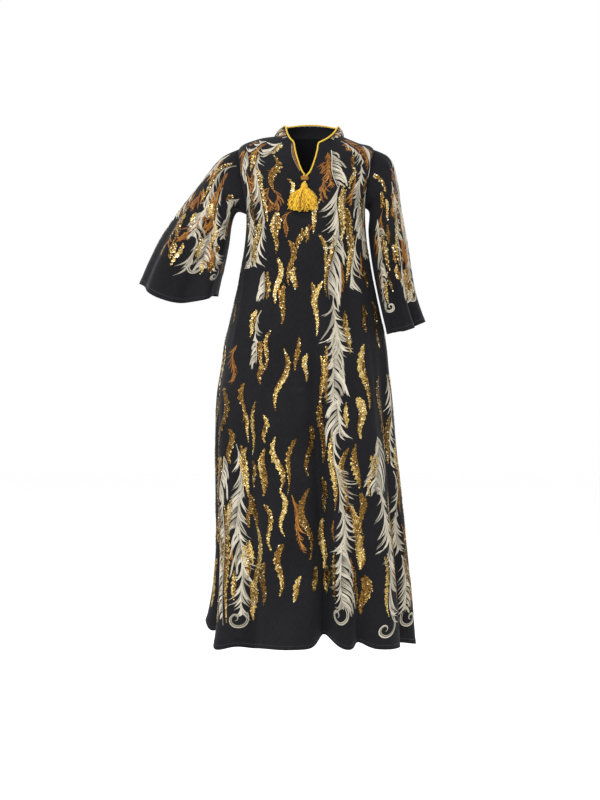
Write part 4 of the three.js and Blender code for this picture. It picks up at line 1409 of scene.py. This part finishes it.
def make_cord():
    into = [(KNOT_PLACE[0] + off, KNOT_Y + 2.6, KNOT_PLACE[1] + KNOT_HEIGHT / 2 - 1) for off in (-2.2, 2.2)]
    middle, length = smooth_line(np.concatenate([[into[0]], cord_line(), [into[1]]]), 620)
    first, second = carried_frames(middle)
    turned = np.linspace(0, length / CORD_LAY * 2 * math.pi, len(middle))
    turned = turned + np.arange(CORD_PLIES)[:, None] * 2 * math.pi / CORD_PLIES
    beside = first * np.cos(turned)[..., None] + second * np.sin(turned)[..., None]
    lines, radius = middle + beside * CORD_PLY_OFFSET, np.full(turned.shape, CORD_PLY_RADIUS)
    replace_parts(tubes("cord_twist", lines, radius, 6, beside, CORD, [0.4, 0.55, 0.7]), "neck_cord")


def make_knot():
    """Copper thread wound close round a barrel."""
    radii, heights = np.array(KNOT_PROFILE).T
    share = np.linspace(0, 1, KNOT_STEPS)
    height = 0.46 - 0.92 * share
    radius = np.interp(height, heights, radii) * KNOT_RADIUS - 0.3
    angle = share * KNOT_TURNS * 2 * math.pi
    middle = np.array([KNOT_PLACE[0], KNOT_Y, KNOT_PLACE[1]])
    depth, rise = radius * np.sin(angle) * KNOT_FLATNESS, height * KNOT_HEIGHT + 0.25 * np.sin(angle * 0.5)
    line = places(radius * np.cos(angle), depth, rise) + middle
    core = [(r * KNOT_RADIUS - 0.5, h * KNOT_HEIGHT * 0.92) for r, h in KNOT_PROFILE]
    core = turned_body([(0, -4.6), *core, (0, 4.6)], 20, KNOT_FLATNESS, middle)
    wide = np.full((1, KNOT_STEPS), KNOT_THREAD)
    knot = tubes("knot_wound", line[None], wide, 6, UPWARD, KNOT, [0.6], core)
    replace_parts(knot, "tassel_knot")


def make_bead():
    profile = BEAD_PROFILE + [(r, -h) for r, h in BEAD_PROFILE[-2::-1]]
    points, quads = turned_body(profile, 24, 1, (BEAD_PLACE[0], KNOT_Y, BEAD_PLACE[1]))
    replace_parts(make_mesh("bead_gilt", points, [quads], GILT, points[:, [0, 2]]), "tassel_bead")


def make_tassel():
    """Crinkled strands that start under the bead, pass a wound neck, and fan out into a dome."""
    own = np.random.default_rng(41)
    wide = np.linspace(-0.97, 0.97, STRAND_COUNT)
    own.shuffle(wide)
    forward = own.random(STRAND_COUNT) ** 0.75
    x0, z0 = HEAD_PLACE
    head_y = at_front(x0, z0 - HEAD_HEIGHT) - HEAD_RADIUS * 1.15 * HEAD_FLATNESS - STAND_OFF
    length = STRANDS_LONG * (1 - 0.1 * wide**2 - 0.24 * own.random(STRAND_COUNT) ** 1.5)
    tip_x, tip_z = STRAND_X + STRANDS_WIDE * wide, z0 - length
    deep = STRANDS_DEEP * forward * np.sqrt(1 - 0.55 * wide**2)
    tip = places(tip_x, panel_front_y(tip_x, tip_z) - STAND_OFF - 1.0 - deep, tip_z)
    around, back = HEAD_RADIUS * np.sqrt(1 - 0.5 * (2 * forward - 1) ** 2), HEAD_RADIUS * (1 - 2 * forward)
    knots = [places(x0 + wide * 1.5, head_y, z0 + 0.5)]
    for across, inward, down in HEAD_SHAPE:
        knots.append(places(x0 + around * across * wide, head_y + back * inward, z0 - down))
    root = knots[-1]
    knots += [root + (tip - root) * share for share in SKIRT_SHAPE]
    lines = np.array([smooth_line(line, STRAND_STEPS)[0] for line in np.stack([*knots, tip], axis=1)])
    along = np.linspace(0, 1, STRAND_STEPS)
    phase = own.uniform(0, 2 * math.pi, (2, STRAND_COUNT, 1))
    waves = own.uniform(3, 7, (2, STRAND_COUNT, 1))
    size = (0.7 + 1.9 * along) * smoothstep((along - 0.18) / 0.12)
    lines[..., 0] += size * np.sin(phase[0] + waves[0] * 2 * math.pi * along)
    lines[..., 1] += 0.6 * size * np.sin(phase[1] + waves[1] * 2 * math.pi * along)
    radius = STRAND_RADIUS * (1 - 0.25 * along) * np.ones((STRAND_COUNT, 1))
    tint = own.random(STRAND_COUNT)
    tassel = tubes("tassel_strands", lines, radius, 5, BACKWARD, YARN, tint)
    band = np.linspace(0, 1, NECK_STEPS)
    angle = band * NECK_TURNS * 2 * math.pi
    x, y = x0 + HEAD_RADIUS * 0.84 * np.cos(angle), head_y + HEAD_RADIUS * 0.68 * np.sin(angle)
    ring, wide = places(x, y, z0 - 7.0 - 5.0 * band), np.full((1, NECK_STEPS), NECK_THREAD)
    neck = tubes("tassel_neck", ring[None], wide, 6, UPWARD, YARN, [0.5])
    neck.parent = tassel
    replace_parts(tassel, "tassel")


make_cord()
make_knot()
make_bead()
make_tassel()


# ---- floor and light ----
FLOOR_REACH = 14.0


def make_floor():
    look = Look("floor_pale", own_place=True, Roughness=0.8)
    material = look.finish(look.noise(6), [(0.3, (0.985, 0.985, 0.985)), (0.7, (1.0, 1.0, 1.0))])
    mesh = bpy.data.meshes.new("floor")
    corners = [(x * FLOOR_REACH, y * FLOOR_REACH, FLOOR_Z) for x, y in ((-1, -1), (1, -1), (1, 1), (-1, 1))]
    mesh.from_pydata(corners, [], [(0, 1, 2, 3)])
    mesh.materials.append(material)
    linked("floor", mesh)


def make_light(name, place, target, size, energy):
    data = bpy.data.lights.new(name, "AREA")
    data.shape = "RECTANGLE"
    data.size, data.size_y = size
    data.energy = energy
    light = linked(name, data)
    light.location = place
    light.rotation_euler = (Vector(target) - Vector(place)).to_track_quat("-Z", "Y").to_euler()


def make_world():
    world = bpy.data.worlds.new("studio")
    world.use_nodes = True
    background = world.node_tree.nodes["Background"]
    background.inputs["Color"].default_value = (1, 1, 1, 1)
    background.inputs["Strength"].default_value = 1.0
    bpy.context.scene.world = world
    bpy.context.scene.view_settings.view_transform = "Standard"


make_floor()
make_world()
make_light("key", (-1.5, -2.5, 1.3), (0, 0, -0.3), (1.2, 1.6), 62)
make_light("glint", (-0.4, -3.5, 0.4), (0, 0, -0.4), (0.4, 0.4), 22)
make_light("fill", (2.2, -2.5, 0.0), (0, 0, -0.5), (1.6, 2.4), 12)
make_light("rim_left", (-1.8, 1.9, 0.9), (0, 0, -0.5), (1.2, 2.2), 30)
make_light("rim_right", (1.8, 1.9, 0.9), (0, 0, -0.5), (1.2, 2.2), 30)
